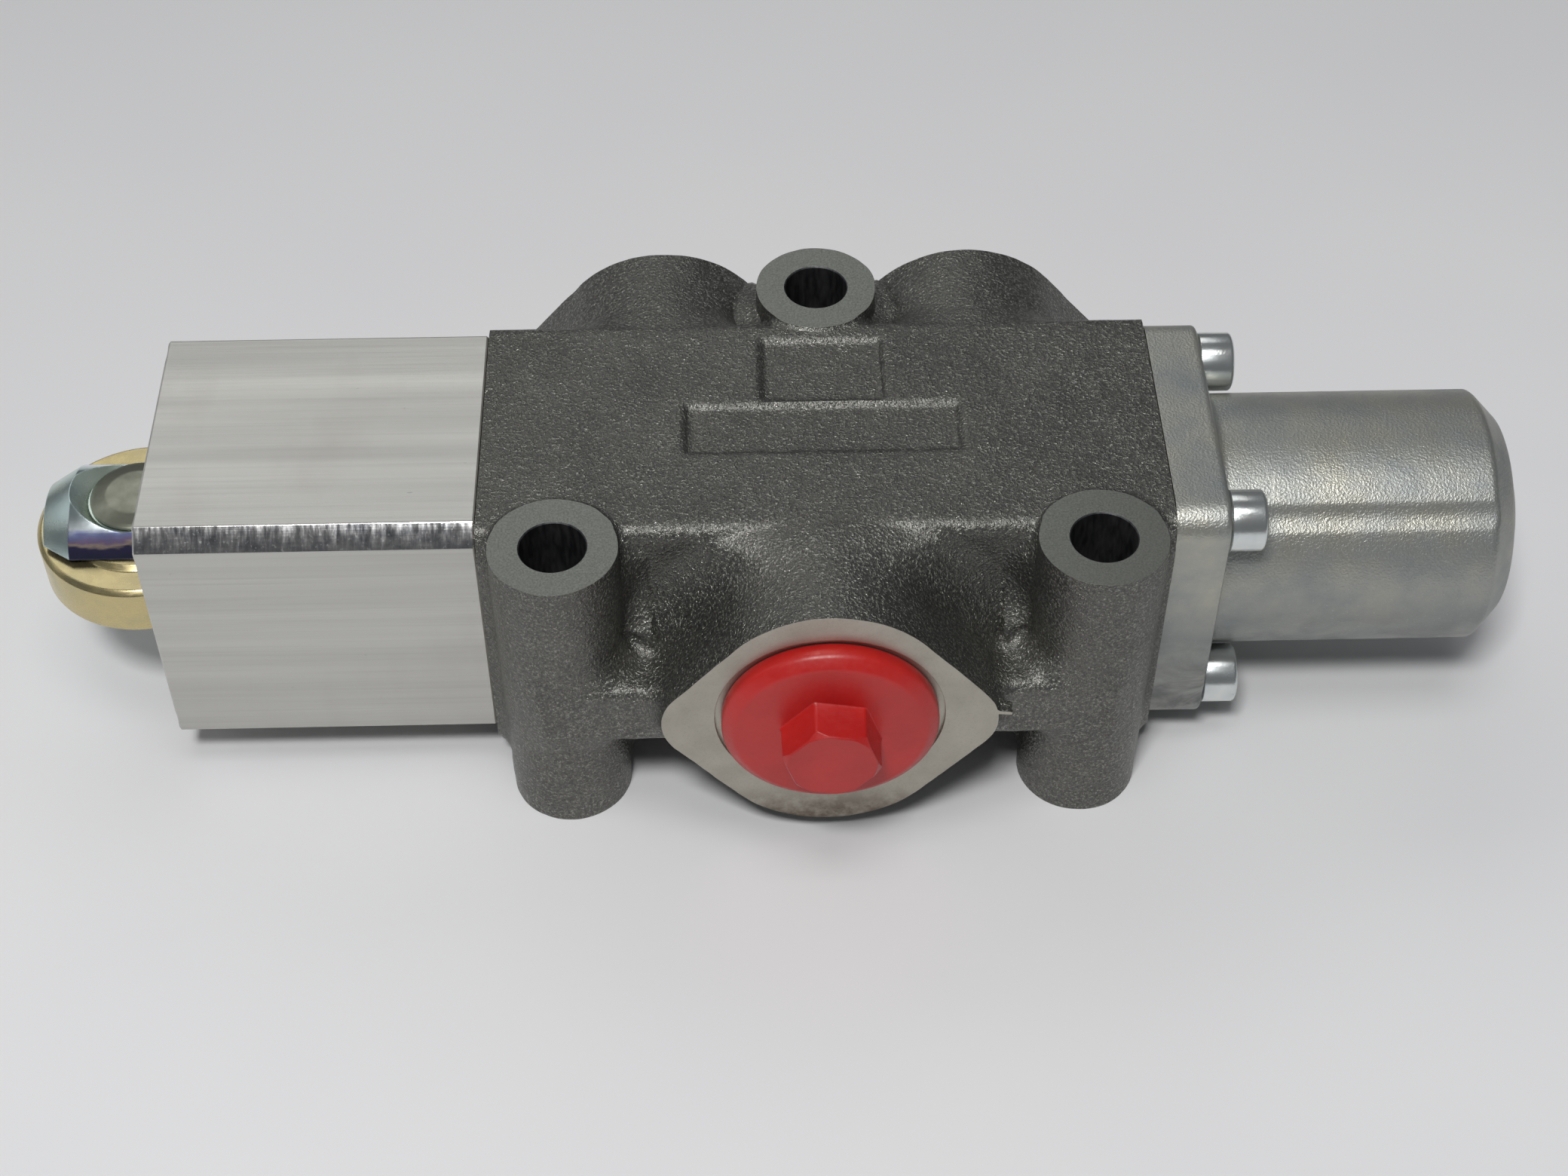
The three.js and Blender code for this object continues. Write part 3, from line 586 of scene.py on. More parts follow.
def block_aluminium():
    g = Graph("extruded_aluminium", (0.55, 0.55, 0.52), 0.8, 0.36)
    lines = g.noise(0.55, 4, 0.65, g.stretched(0.012, 1, 1))
    bands = g.noise(4, 3, 0.55, g.stretched(0.03, 1, 1))
    blotch = g.noise(11, 3, 0.5, g.stretched(1, 0.6, 0.35))
    fine = g.noise(0.3, 3, 0.6)
    colour = g.ramp(bands, (0.3, (0.50, 0.495, 0.465)), (0.7, (0.585, 0.58, 0.545)))
    groove = g.sums("MULTIPLY", g.ramp(lines, (0.3, 1.0), (0.5, 0.0)), 0.3)
    colour = g.mix(groove, colour, (0.40, 0.395, 0.375))
    stain = g.sums("MULTIPLY", g.ramp(blotch, (0.55, 0.0), (0.8, 1.0)), 0.3)
    colour = g.mix(stain, colour, (0.41, 0.39, 0.36))
    mark = g.noise(1.1, 3, 0.6, g.stretched(0.5, 1, 1))
    colour = g.mix(g.ramp(mark, (0.72, 0.0), (0.78, 0.6)), colour, (0.25, 0.25, 0.24))
    g.soft_edges(0.06)
    g.bump(lines, 0.02)
    g.bump(fine, 0.006)
    return g.done(colour, g.ramp(bands, (0.3, 0.4), (0.7, 0.32)))


def drawn_chamfer():
    """The die-polished chamfers of the extrusion, with short marks across them."""
    g = Graph("extruded_chamfer", (0.5, 0.5, 0.51), 0.95, 0.12)
    marks = g.noise(0.6, 3, 0.6, g.stretched(1, 0.2, 0.2))
    lines = g.noise(0.6, 3, 0.6, g.stretched(0.02, 1, 1))
    stain = g.noise(2.2, 4, 0.65, g.stretched(0.5, 1, 1))
    colour = g.ramp(stain, (0.35, (0.26, 0.265, 0.28)), (0.65, (0.58, 0.57, 0.56)))
    fleck = g.noise(0.45, 2, 0.5)
    colour = g.mix(g.ramp(fleck, (0.62, 0.0), (0.7, 0.7)), colour, (0.9, 0.9, 0.88))
    g.bump(lines, 0.008)
    g.bump(marks, 0.003)
    return g.done(colour, g.ramp(marks, (0.3, 0.08), (0.7, 0.22)))


def milled_aluminium():
    g = Graph("milled_aluminium", (0.66, 0.66, 0.65), 0.85, 0.36)
    swirl = g.noise(0.5, 3, 0.6, g.stretched(1, 0.06, 1))
    colour = g.ramp(swirl, (0.3, (0.52, 0.52, 0.51)), (0.7, (0.7, 0.7, 0.69)))
    g.soft_edges(0.15)
    g.bump(swirl, 0.012)
    return g.done(colour)


def cap_metal():
    g = Graph("zinc_plated_casting", (0.4, 0.405, 0.395), 0.8, 0.42)
    grain = g.noise(0.34, 2, 0.55)
    fine = g.noise(0.15, 2, 0.5)
    swell = g.noise(2.4, 2, 0.5)
    patch = g.noise(9, 4, 0.6)
    smudge = g.noise(6, 4, 0.65, g.stretched(0.6, 1, 1), 0.6)
    blue, plain, warm = (0.32, 0.34, 0.335), (0.40, 0.405, 0.375), (0.47, 0.455, 0.39)
    colour = g.ramp(patch, (0.3, blue), (0.5, plain), (0.7, warm))
    shade = g.sums("MULTIPLY", g.ramp(g.heights(24, 34), (0.0, 1.0), (1.0, 0.0)), 0.55)
    colour = g.mix(shade, colour, (0.23, 0.245, 0.245))
    # The light grain specks are painted sparkle.
    colour = g.mix(g.ramp(grain, (0.66, 0.0), (0.78, 0.35)), colour, (0.75, 0.75, 0.72))
    low = g.ramp(g.heights(12, 26), (0.0, 1.0), (1.0, 0.0))
    dirt = g.sums("MULTIPLY", g.ramp(smudge, (0.44, 0.0), (0.6, 0.8)), low)
    colour = g.mix(dirt, colour, (0.13, 0.135, 0.135))
    g.bump(swell, 0.02)
    g.bump(g.ramp(grain, (0.4, 0.0), (0.7, 1.0)), 0.03)
    g.bump(fine, 0.012)
    return g.done(colour, g.ramp(patch, (0.35, 0.46), (0.65, 0.36)))


def blue_zinc():
    """Clear chromate over zinc, in bands by height on the bar: a pale painted highlight near the
    top, then blue, violet and bronze to navy down the sides, the film's tints placed as painted
    reflection."""
    g = Graph("blue_zinc", (0.6, 0.65, 0.66), 0.95, 0.16)
    above = g.sums("ABSOLUTE", g.sums("SUBTRACT", g.along("Z"), AXIS_Z * MM))
    ripple = g.noise(1.2, 3, 0.55, g.stretched(0.35, 1, 1))
    sway = 0.9 * MM
    wavy = g.sums("MULTIPLY_ADD", ripple, 2 * sway, g.sums("SUBTRACT", above, sway))
    film = g.sums("DIVIDE", wavy, FORK_R * MM)
    # Bands by height: the near-white stops are a painted highlight, the others the film's tints
    # placed as painted reflection.
    colour = g.ramp(
        film,
        (0.48, (0.10, 0.11, 0.18)), (0.60, (0.13, 0.12, 0.26)), (0.645, (1.0, 0.78, 0.66)),
        (0.68, (0.60, 0.44, 0.72)), (0.74, (0.46, 0.52, 0.95)), (0.79, (0.85, 0.92, 0.95)),
        (0.87, (0.70, 0.80, 0.80)), (1.0, (0.52, 0.66, 0.66)),
    )
    g.soft_edges(0.3)
    g.bump(g.noise(0.3, 2, 0.5, g.stretched(0.1, 1, 1)), 0.006)
    return g.done(colour, g.ramp(g.noise(3, 3), (0.3, 0.12), (0.7, 0.2)))


def pale_zinc():
    """The same film where it is thinnest: pale green to teal."""
    g = Graph("pale_zinc", (0.52, 0.62, 0.58), 0.95, 0.24)
    film = g.noise(6, 2, 0.5)
    colour = g.ramp(film, (0.35, (0.60, 0.74, 0.73)), (0.65, (0.64, 0.74, 0.66)))
    g.soft_edges(0.2)
    g.bump(g.noise(0.3, 2, 0.5), 0.006)
    return g.done(colour, g.ramp(g.noise(3, 3), (0.3, 0.2), (0.7, 0.3)))


def gold_zinc():
    g = Graph("yellow_zinc", (0.55, 0.46, 0.24), 0.95, 0.26)
    film = g.noise(8, 3, 0.5, None, 0.4)
    pale, rich, dull = (0.56, 0.48, 0.27), (0.62, 0.52, 0.27), (0.50, 0.45, 0.26)
    colour = g.ramp(film, (0.3, pale), (0.5, rich), (0.7, dull))
    lines = g.noise(0.25, 3, 0.6, g.stretched(0.15, 0.15, 1))
    g.soft_edges(0.15)
    g.bump(lines, 0.01)
    return g.done(colour, g.ramp(lines, (0.3, 0.32), (0.7, 0.22)))


def screw_zinc():
    g = Graph("screw_zinc", (0.72, 0.75, 0.75), 0.95, 0.2)
    tone = g.noise(2.5, 3)
    colour = g.ramp(tone, (0.3, (0.66, 0.70, 0.71)), (0.7, (0.80, 0.82, 0.80)))
    g.soft_edges(0.1)
    g.bump(g.noise(0.3, 3), 0.012)
    return g.done(colour, g.ramp(tone, (0.3, 0.28), (0.7, 0.18)))


def red_plastic():
    g = Graph("red_plastic", (0.5, 0.014, 0.012), 0.0, 0.34, specular=0.6)
    tone = g.noise(6, 3, 0.5)
    colour = g.ramp(tone, (0.3, (0.42, 0.010, 0.009)), (0.7, (0.50, 0.014, 0.011)))
    scuff = g.noise(0.8, 4, 0.65)
    g.soft_edges(0.2)
    g.bump(g.noise(1.6, 3), 0.03)
    g.bump(scuff, 0.008)
    return g.done(colour, g.ramp(scuff, (0.35, 0.34), (0.7, 0.46)))


def plain_metal(name, colour, roughness, size=0.6, squeeze=(1, 1, 1), metallic=0.95):
    """A metal with a light grain, size millimetres across, in its colour and roughness."""
    g = Graph(name, colour, metallic, roughness)
    tone = g.noise(size, 3, 0.6, g.stretched(*squeeze))
    dim = tuple(0.8 * c for c in colour)
    bright = tuple(min(1.15 * c, 1) for c in colour)
    g.soft_edges(0.1)
    g.bump(tone, 0.012)
    shine = g.ramp(tone, (0.3, roughness * 1.2), (0.7, roughness * 0.85))
    return g.done(g.ramp(tone, (0.3, dim), (0.7, bright)), shine)


def rubber():
    g = Graph("rubber", (0.02, 0.02, 0.021), 0, 0.6)
    tone = g.noise(0.7, 3)
    g.bump(tone, 0.02)
    return g.done(g.ramp(tone, (0.3, (0.015, 0.015, 0.016)), (0.7, (0.035, 0.035, 0.036))))


CAST = cast_iron()
MACHINED = machined_iron()
# A darker copy of the machined iron for the faces that look up or down: painted shade.
FACED_PAINTED_SHADE = plain_metal("faced_iron_painted_shade", (0.19, 0.197, 0.178), 0.36, 0.25, metallic=0.9)
BORE_PAINTED_SHADE = bore_painted_shade()
EXTRUDED = block_aluminium()
CHAMFER = drawn_chamfer()
MILLED = milled_aluminium()
CAP_METAL = cap_metal()
BLUE_ZINC = blue_zinc()
PALE_ZINC = pale_zinc()
GOLD_ZINC = gold_zinc()
SCREW_ZINC = screw_zinc()
RED = red_plastic()
GROUND = plain_metal("ground_steel", (0.55, 0.55, 0.56), 0.16, 0.4, (0.1, 1, 1))
SPRING = plain_metal("spring_steel", (0.22, 0.22, 0.23), 0.35)
WASHER = plain_metal("washer_steel", (0.5, 0.52, 0.53), 0.3)
BRONZE = plain_metal("bush_bronze", (0.5, 0.33, 0.15), 0.34)
PIN_FINISH = plain_metal("pin_zinc", (0.26, 0.27, 0.215), 0.32, 3.5)
RUBBER = rubber()


# ---- body ----

COLUMNS = ((-36.7, -24.0), (36.7, -24.0), (0.0, 27.4))
COLUMN_R, COLUMN_TAPER = 8.5, 0.25
PORT_X = 22.5
PORTS = {"front": (0.0, -1), "rear_left": (-PORT_X, 1), "rear_right": (PORT_X, 1)}
FRONT_BOSS_Z, REAR_BOSS_Z = 25.4, 26.2
BOSS_ROOT_Y, BOSS_DRAFT = 8, 0.07
RIB_Z, RIB_HALVES = 23.0, (40.7, 16.45, 5.4)
PANEL_FLOOR, PANEL_DRAFT, PANEL_HALF = 46.9, 0.7, 3.0
SCREW_PLACES = [(-16, -16), (16, -16), (16, 16), (-16, 16)]
SCREW_HOLE_R = 2.75
SPOOL_R, GROOVE_R, GROOVE_HALF = 8, 12, 3.5
SEAL_POCKET_R = 12.5


def flash(x, y, z):
    """A sliver of casting flash on the mould's parting line, at the front boss's right tip."""
    start, end, radius = 22, 24.6, 0.35
    along = x - np.clip(x, start, end)
    above = z - 26.9 + 0.12 * (x - start)
    depth = y - np.clip(y, -38, -34.4)
    return np.hypot(np.hypot(along, above), depth) - radius


def body_field(x, y, z):
    """The distance to the casting: a square bar with three port bosses, a rib along the front,
    three columns, and two sunk panels on top."""
    shape = round_box((None, y, z - AXIS_Z), (0, BAR_HALF, BAR_HALF), 2.2)
    outline, lean = lens(x, z - FRONT_BOSS_Z)
    draft = BOSS_DRAFT * np.clip(y + PORT_FACE_Y, 0, 15)
    shape = fillet_join(shape, (np.maximum(outline - draft, y + BOSS_ROOT_Y), lean), 7.0)
    for port_x in (-PORT_X, PORT_X):
        outline, lean = lens(x - port_x, z - REAR_BOSS_Z)
        shape = fillet_join(shape, (np.maximum(outline, BOSS_ROOT_Y - y), lean), 5.0)
    rib = round_box((x, y + RIB_HALVES[1], z - RIB_Z), RIB_HALVES, 1.6)
    shape = fillet_join(shape, rib, 3.2)
    tight = smoothstep(42, 47, z)
    for cx, cy in COLUMNS:
        column = rod_z(x - cx, y - cy, COLUMN_R + COLUMN_TAPER * z / COLUMN_TOP)
        shape = fillet_join(shape, column, 4.0 * (1 - tight) + 1.0 * tight)
    distance = shape[0]
    draft = PANEL_DRAFT * (z - PANEL_FLOOR)
    for px, py, hx, hy in ((0.3, 10.6, 8.3, 5.8), (0.0, -1.3, 18.8, 4.3)):
        offsets = (x - px, y - py, z - (PANEL_FLOOR + PANEL_HALF))
        panel = round_box(offsets, (hx + draft, hy + draft, PANEL_HALF), 0.3)[0]
        distance = round_cut(distance, -panel, 0.5)
    return np.minimum(distance, flash(x, y, z))


def body_relief(x, y, z):
    """The sand's grain, in millimetres."""
    return 0.07 * value_noise(3, 4.5, x, y, z) + 0.05 * value_noise(4, 1.5, x, y, z)


def make_body():
    """The casting, then its machined faces, holes, ports and bore."""
    low = (BODY_LEFT, -PORT_FACE_Y, 0)
    high = (BODY_RIGHT, PORT_FACE_Y, COLUMN_TOP)
    margin, grid_half_y = 1.5, 38.5
    grid_low = (BODY_LEFT - margin, -grid_half_y, -margin)
    grid_high = (BODY_RIGHT + margin, grid_half_y, COLUMN_TOP + margin)
    step = 0.56

    def closed_field(x, y, z):
        limit = np.maximum.reduce([
            np.abs(x - (BODY_LEFT + BODY_RIGHT) / 2) - (BODY_RIGHT - BODY_LEFT) / 2 - 0.9,
            np.abs(y) - PORT_FACE_Y - 1.0,
            np.abs(z - COLUMN_TOP / 2) - COLUMN_TOP / 2 - 0.9,
        ])
        return np.maximum(body_field(x, y, z), limit)

    body = from_field("valve_casting", closed_field, grid_low, grid_high, step, CAST, body_relief)
    faces = block("faces", low, high, MACHINED)
    faces.data.materials.append(FACED_PAINTED_SHADE)
    # Faces that look up or down get the darker copy, which is painted shade.
    for face in faces.data.polygons:
        face.material_index = int(abs(face.normal.z) > 0.5)
    carve(body, "INTERSECT", [faces])
    tools = []
    hole_r, mouth_r, mouth = 4.5, 5.65, COLUMN_TOP + 1
    for x, y in COLUMNS:
        profile = [(-1, 0), (-1, mouth_r), (0.15, hole_r)]
        profile += [(COLUMN_TOP - 0.15, hole_r), (mouth, mouth_r), (mouth, 0)]
        tools.append(turned("hole", profile, "z", (x, y, 0), BORE_PAINTED_SHADE))
    passage_r, thread_r, facing_r = 6, 9.4, 15.7
    facing = PORT_FACE_Y - 0.5
    port = [(5, 0), (5, passage_r), (18.2, passage_r), (18.2, thread_r)]
    port += [(facing - 0.7, thread_r), (facing, thread_r + 0.8), (facing, facing_r)]
    port += [(PORT_FACE_Y + 1, facing_r), (PORT_FACE_Y + 1, 0)]
    for x, side in PORTS.values():
        profile = [(side * y, r) for y, r in port]
        tools.append(turned("port", profile, "y", (x, 0, AXIS_Z), MACHINED, 128))
    steps = [(BODY_LEFT + 5, SEAL_POCKET_R)]
    for x in (-PORT_X, 0, PORT_X):
        steps += [(x - GROOVE_HALF, SPOOL_R), (x + GROOVE_HALF, GROOVE_R)]
    steps += [(BODY_RIGHT - 3.4, SPOOL_R), (BODY_RIGHT + 1, SEAL_POCKET_R)]
    tools.append(turned("bore", stepped(BODY_LEFT - 1, *steps), "x", CENTRE, BORE_PAINTED_SHADE))
    for y, z in SCREW_PLACES:
        for left, right in ((BODY_LEFT - 1, BODY_LEFT + 11), (BODY_RIGHT - 10, BODY_RIGHT + 1)):
            profile = stepped(left, (right, SCREW_HOLE_R))
            tools.append(turned("screw_hole", profile, "x", (0, y, AXIS_Z + z), BORE_PAINTED_SHADE, 32))
    carve(body, "DIFFERENCE", tools)
    shaded(body)
    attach(body, "housing")
    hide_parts("valve_body")


# ---- actuator block, fork and roller ----

CHAMFER_LEG = 2.65
COUNTERBORE_R, COUNTERBORE_DEPTH = 4.75, 5.5


def along_bore(depth, a, b):
    return depth, a, b + AXIS_Z


def make_block():
    """A square extrusion with flat chamfers, bored for the fork bar and slotted for the roller."""
    def outline(inset):
        half, flat = BAR_HALF - inset, BAR_HALF - CHAMFER_LEG - 0.41 * inset
        corners = [(half, -flat), (half, flat), (flat, half), (-flat, half)]
        corners += [(-half, flat), (-half, -flat), (-flat, -half), (flat, -half)]
        return rounded([(a, b, 0.45) for a, b in corners], closed=True)

    copies = [(BLOCK_LEFT, 0.3), (BLOCK_LEFT + 0.3, 0), (BLOCK_RIGHT - 0.2, 0), (BLOCK_RIGHT, 0.2)]
    piece = drawn("actuator_housing", outline, copies, along_bore, EXTRUDED)
    piece.data.materials.append(CHAMFER)
    for face in piece.data.polygons:
        sloping = min(abs(face.normal.y), abs(face.normal.z)) > 0.5
        face.material_index = int(sloping)
    bore_r, relief_r, wiper_r = FORK_R + 0.1, 11.6, 12.6
    relief_end = BLOCK_LEFT + 12
    wiper_left, wiper_right = -64.6, -61.4
    steps = [(relief_end, relief_r), (wiper_left, bore_r)]
    steps += [(wiper_right, wiper_r), (BLOCK_RIGHT + 1, bore_r)]
    bore = stepped(BLOCK_LEFT - 1, *steps)

    def pocket_outline(_):
        half_y, half_z, corner_r = 16, 5.4, 1.5
        signs = ((1, -1), (1, 1), (-1, 1), (-1, -1))
        return rounded([(a * half_y, b * half_z, corner_r) for a, b in signs], closed=True)

    pocket_ends = [(BLOCK_LEFT - 1, 0), (BLOCK_LEFT + 22, 0)]
    tools = [
        turned("bore", bore, "x", CENTRE, MILLED, 128),
        drawn("pocket", pocket_outline, pocket_ends, along_bore, MILLED),
    ]
    floor = BLOCK_LEFT + COUNTERBORE_DEPTH
    for y, z in SCREW_PLACES:
        profile = [(BLOCK_LEFT - 1, 0), (BLOCK_LEFT - 1, COUNTERBORE_R + 1.1)]
        profile += [(BLOCK_LEFT + 0.3, COUNTERBORE_R), (floor, COUNTERBORE_R)]
        profile += [(floor, SCREW_HOLE_R), (BLOCK_RIGHT + 1, SCREW_HOLE_R), (BLOCK_RIGHT + 1, 0)]
        tools.append(turned("counterbore", profile, "x", (0, y, AXIS_Z + z), MILLED, 48))
    carve(piece, "DIFFERENCE", tools)
    shaded(piece)
    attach(piece, "housing")
    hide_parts("actuator_block")


def make_fork():
    """A round bar with a coned nose, slotted for the roller. Its ears are countersunk flat."""
    nose_r, nose_end, bevel = 8.0, -106.15, 0.4
    profile = rounded([
        (FORK_LEFT, 0), (FORK_LEFT, nose_r, 0.4), (nose_end, FORK_R, 0.3),
        (FORK_RIGHT - bevel, FORK_R), (FORK_RIGHT, FORK_R - bevel), (FORK_RIGHT, 0),
    ])
    piece = turned("roller_fork_bar", profile, "x", CENTRE, BLUE_ZINC, 160)
    piece.data.materials.append(PALE_ZINC)
    for face in piece.data.polygons:
        face.material_index = int(face.normal.x < -0.4)
    out, slot_half = 12, 5
    slot_end = ends("roller")[1] + 1.4
    ear_flat, ear_r, pin_r, link_r = 8.0, 6.9, 4.05, 2.2
    ear = [(ear_flat, 0), (ear_flat, ear_r), (out, ear_r + out - ear_flat), (out, 0)]
    pin_hole = stepped(-out, (out, pin_r))
    socket = stepped(-66.5, (FORK_RIGHT + 1, 5.15))
    link = stepped(-out, (out, link_r))
    slot_low = (FORK_LEFT - 1, -out, AXIS_Z - slot_half)
    slot_high = (slot_end, out, AXIS_Z + slot_half)
    at_roller, at_link = (ROLLER_X, 0, AXIS_Z), (LINK_PIN_X, 0, AXIS_Z)
    tools = [
        block("slot", slot_low, slot_high, BLUE_ZINC),
        turned("ear_top", ear, "z", at_roller, PALE_ZINC, 128),
        turned("ear_low", [(-z, r) for z, r in ear], "z", at_roller, PALE_ZINC, 128),
        turned("pin_hole", pin_hole, "z", at_roller, BLUE_ZINC, 64),
        turned("socket", socket, "x", CENTRE, BLUE_ZINC, 64),
        turned("link_hole", link, "z", at_link, BLUE_ZINC, 48),
    ]
    carve(piece, "DIFFERENCE", tools)
    shaded(piece)
    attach(piece, "spool_set")
    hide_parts("roller_fork")


def make_roller():
    """A wheel that is the same above and below, with a raised hub."""
    bore, hub, rim = 6.1, 10.2, ends("roller", 1)[1]
    web, face = 4.1, 4.8
    half = [(0, rim), (web - 0.7, rim, 0.3), (web, rim - 0.7, 0.3), (web, hub + 0.6, 0.5)]
    half += [(face, hub - 0.1, 0.2), (face, bore + 0.5, 0.1), (face - 0.4, bore, 0.1), (0, bore)]
    upper = rounded(half)[1:-1]
    lower = [(-z, r) for z, r in reversed(upper)]
    piece = turned("roller_wheel", upper + lower, "z", (ROLLER_X, 0, AXIS_Z), GOLD_ZINC, 160)
    shaded(piece)
    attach(piece, "roller")
    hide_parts("roller")


def make_roller_pin():
    """The axle, with a low domed head above and a groove for its clip below."""
    top, seat, groove_low, groove_high = 9.3, 8.15, -9.1, -8.15
    shank_r, groove_r, head_r = 3.9, 3.3, 6.6
    profile = rounded([
        (top, 0), (top - 0.05, 4.2, 2.0), (top - 0.5, 5.9, 0.4), (top - 0.75, head_r, 0.15),
        (seat, head_r, 0.1), (seat, shank_r, 0.1), (groove_high, shank_r), (groove_high, groove_r),
        (groove_low, groove_r), (groove_low, shank_r), (groove_low - 0.6, shank_r, 0.1),
        (groove_low - 0.9, shank_r - 0.3), (groove_low - 0.9, 0),
    ])
    piece = turned("roller_axle", profile, "z", (ROLLER_X, 0, AXIS_Z), PIN_FINISH, 96)
    shaded(piece, 24)
    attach(piece, "spool_set")
    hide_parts("roller_pin")
    inner, outer, low, high = 3.45, 5.9, -9.0, -8.2
    ring = rounded([(low, inner), (low, outer, 0.25), (high, outer, 0.25), (high, inner)])
    clip = turned("axle_clip", ring, "z", (ROLLER_X, 0, AXIS_Z), SPRING, 96)
    mouth_low, mouth_high = (ROLLER_X - 7, -3.0, AXIS_Z - 11), (ROLLER_X - 1, 3.0, AXIS_Z - 7)
    mouth = block("mouth", mouth_low, mouth_high, SPRING)
    carve(clip, "DIFFERENCE", [mouth])
    shaded(clip)
    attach(clip, "spool_set")
    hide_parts("roller_pin_clip")


# ---- spring cap ----

FLANGE_FACE = CAP_LEFT + 7.6
BARREL_R, BARREL_END, FLUTE_R = 18.15, 97.3, 4.9
KNOB_R, KNOB_START = 9.0, 90


def cap_field(x, y, z):
    """The distance to the cap: a square flange, a coned barrel fluted for the screws, a knob."""
    up = z - AXIS_Z
    reach = np.maximum(np.hypot(y, up), 1e-6)
    radial = np.stack([np.zeros_like(reach), y / reach, up / reach])
    plate, side = round_box((None, y, up), (0, BAR_HALF, BAR_HALF), 4.5)
    face = half_space(x - FLANGE_FACE, (1, 0, 0))
    plate = round_cut(plate, face[0], 0.7), np.where(face[0] > plate, face[1], side)
    cone = (x - 93.6) * 0.73 + (reach - BARREL_R) * 0.684
    barrel = round_cut(reach - BARREL_R, cone, 0.35)
    barrel = round_cut(barrel, x - BARREL_END, 0.5)
    for y0, z0 in SCREW_PLACES:
        flute = np.hypot(y - y0, up - z0) - FLUTE_R
        barrel = round_cut(barrel, -flute, 0.2)
    shape = fillet_join(plate, (barrel, radial), 1.4)
    knob = round_cut(reach - KNOB_R, x - CAP_RIGHT, 0.7)
    knob = np.maximum(knob, KNOB_START - x)
    end = half_space(barrel, (1, 0, 0))
    knob_shape = fillet_join(end, (knob, radial), 0.7)
    return np.minimum(shape[0], knob_shape[0])


def cap_relief(x, y, z):
    return -0.02 + 0.02 * value_noise(5, 3.0, x, y, z)


def make_cap():
    """The die-cast cap, then its milled joint face, spring chamber and screw holes."""
    def closed_field(x, y, z):
        return np.maximum(cap_field(x, y, z), CAP_LEFT - 0.8 - x)

    grid_half = 22.4
    grid_low = (CAP_LEFT - 1.6, -grid_half, AXIS_Z - grid_half)
    grid_high = (CAP_RIGHT + 1.2, grid_half, AXIS_Z + grid_half)
    step = 0.42
    grid = (grid_low, grid_high, step)
    cap = from_field("spring_housing", closed_field, *grid, CAP_METAL, cap_relief)
    low, high = (CAP_LEFT, -30, -10), (CAP_RIGHT + 5, 30, 60)
    carve(cap, "INTERSECT", [block("face", low, high, MACHINED)])
    ledge, ledge_r, chamber_end, chamber_r = 48.95, 16, 92.75, 14.6
    bore = stepped(CAP_LEFT - 1, (ledge, ledge_r), (chamber_end, chamber_r))
    tools = [turned("bore", bore, "x", CENTRE, MACHINED)]
    for y, z in SCREW_PLACES:
        profile = stepped(CAP_LEFT - 1, (FLANGE_FACE + 1, SCREW_HOLE_R))
        tools.append(turned("screw_hole", profile, "x", (0, y, AXIS_Z + z), MACHINED, 32))
    carve(cap, "DIFFERENCE", tools)
    shaded(cap)
    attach(cap, "housing")
    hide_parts("spring_cap")


# ---- return spring ----

WIRE_R, SPRING_MEAN_R, ACTIVE_TURNS = 1.2, 10.9, 5.5


def make_spring():
    """A coil with one closed turn at each end."""
    low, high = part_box("return_spring")
    left, right = low.x / MM - SHIFT_X + WIRE_R, high.x / MM - SHIFT_X - WIRE_R
    closed_pitch = WIRE_R * 2.1
    free = right - left - 2 * closed_pitch
    turns = ACTIVE_TURNS + 2
    steps, sides = round(turns * 32), 12  # sections along the wire, and points around one
    turn = np.linspace(0, turns, steps + 1)
    opened = np.clip(turn - 1, 0, ACTIVE_TURNS) / ACTIVE_TURNS
    closed = np.minimum(turn, 1) + np.maximum(turn - turns + 1, 0)
    angle = turn * TURN
    outwards = np.stack([np.zeros_like(angle), np.cos(angle), np.sin(angle)], 1)
    centre = SPRING_MEAN_R * outwards
    centre[:, 0] = left + closed * closed_pitch + opened * free
    along = np.gradient(centre, axis=0)
    along /= np.linalg.norm(along, axis=1)[:, None]
    beside = np.cross(along, outwards)
    points = []
    for k in range(sides):
        c, s = math.cos(TURN * k / sides), math.sin(TURN * k / sides)
        points.append(centre + WIRE_R * (c * outwards + s * beside))
    points = np.stack(points, 1).reshape(-1, 3) + CENTRE
    faces = [list(range(sides))[::-1], [steps * sides + k for k in range(sides)]]
    for row in range(0, steps * sides, sides):
        for k in range(sides):
            n = (k + 1) % sides
            faces.append([row + k, row + n, row + sides + n, row + sides + k])
    piece = meshed("coil_spring", points, faces, SPRING)
    outward(piece)
    shaded(piece)
    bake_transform(piece)
    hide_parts("return_spring")


# ---- screws and plugs ----

HEX_R, HEX_TURN = 7.0, 41
HEX_END = ends("port_plug_rear_left", 1)[1]


def make_screw(name, node, seat, away, length, y, z):
    """A socket head screw along X. Its head starts at seat and points away from the shank."""
    shank_r, head_r, head_top, key_r, key_floor = 2.45, 4.25, 5.0, 2.31, 2.5
    shape = rounded([
        (-length, 0), (-length, 1.9), (-length + 0.6, shank_r), (0, shank_r), (0, 4.0),
        (0.2, head_r, 0.1), (4.7, head_r, 0.5), (head_top, 3.7, 0.25), (head_top, 0),
    ])
    profile = [(seat + away * a, r) for a, r in shape]
    piece = turned(name, profile, "x", (0, y, AXIS_Z + z), SCREW_ZINC, 64)
    key = [(seat + away * a, r) for a, r in stepped(key_floor, (head_top + 1, key_r))]
    carve(piece, "DIFFERENCE", [turned("key", key, "x", (0, y, AXIS_Z + z), SCREW_ZINC, 6)])
    shaded(piece)
    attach(piece, "housing")
    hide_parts(node)


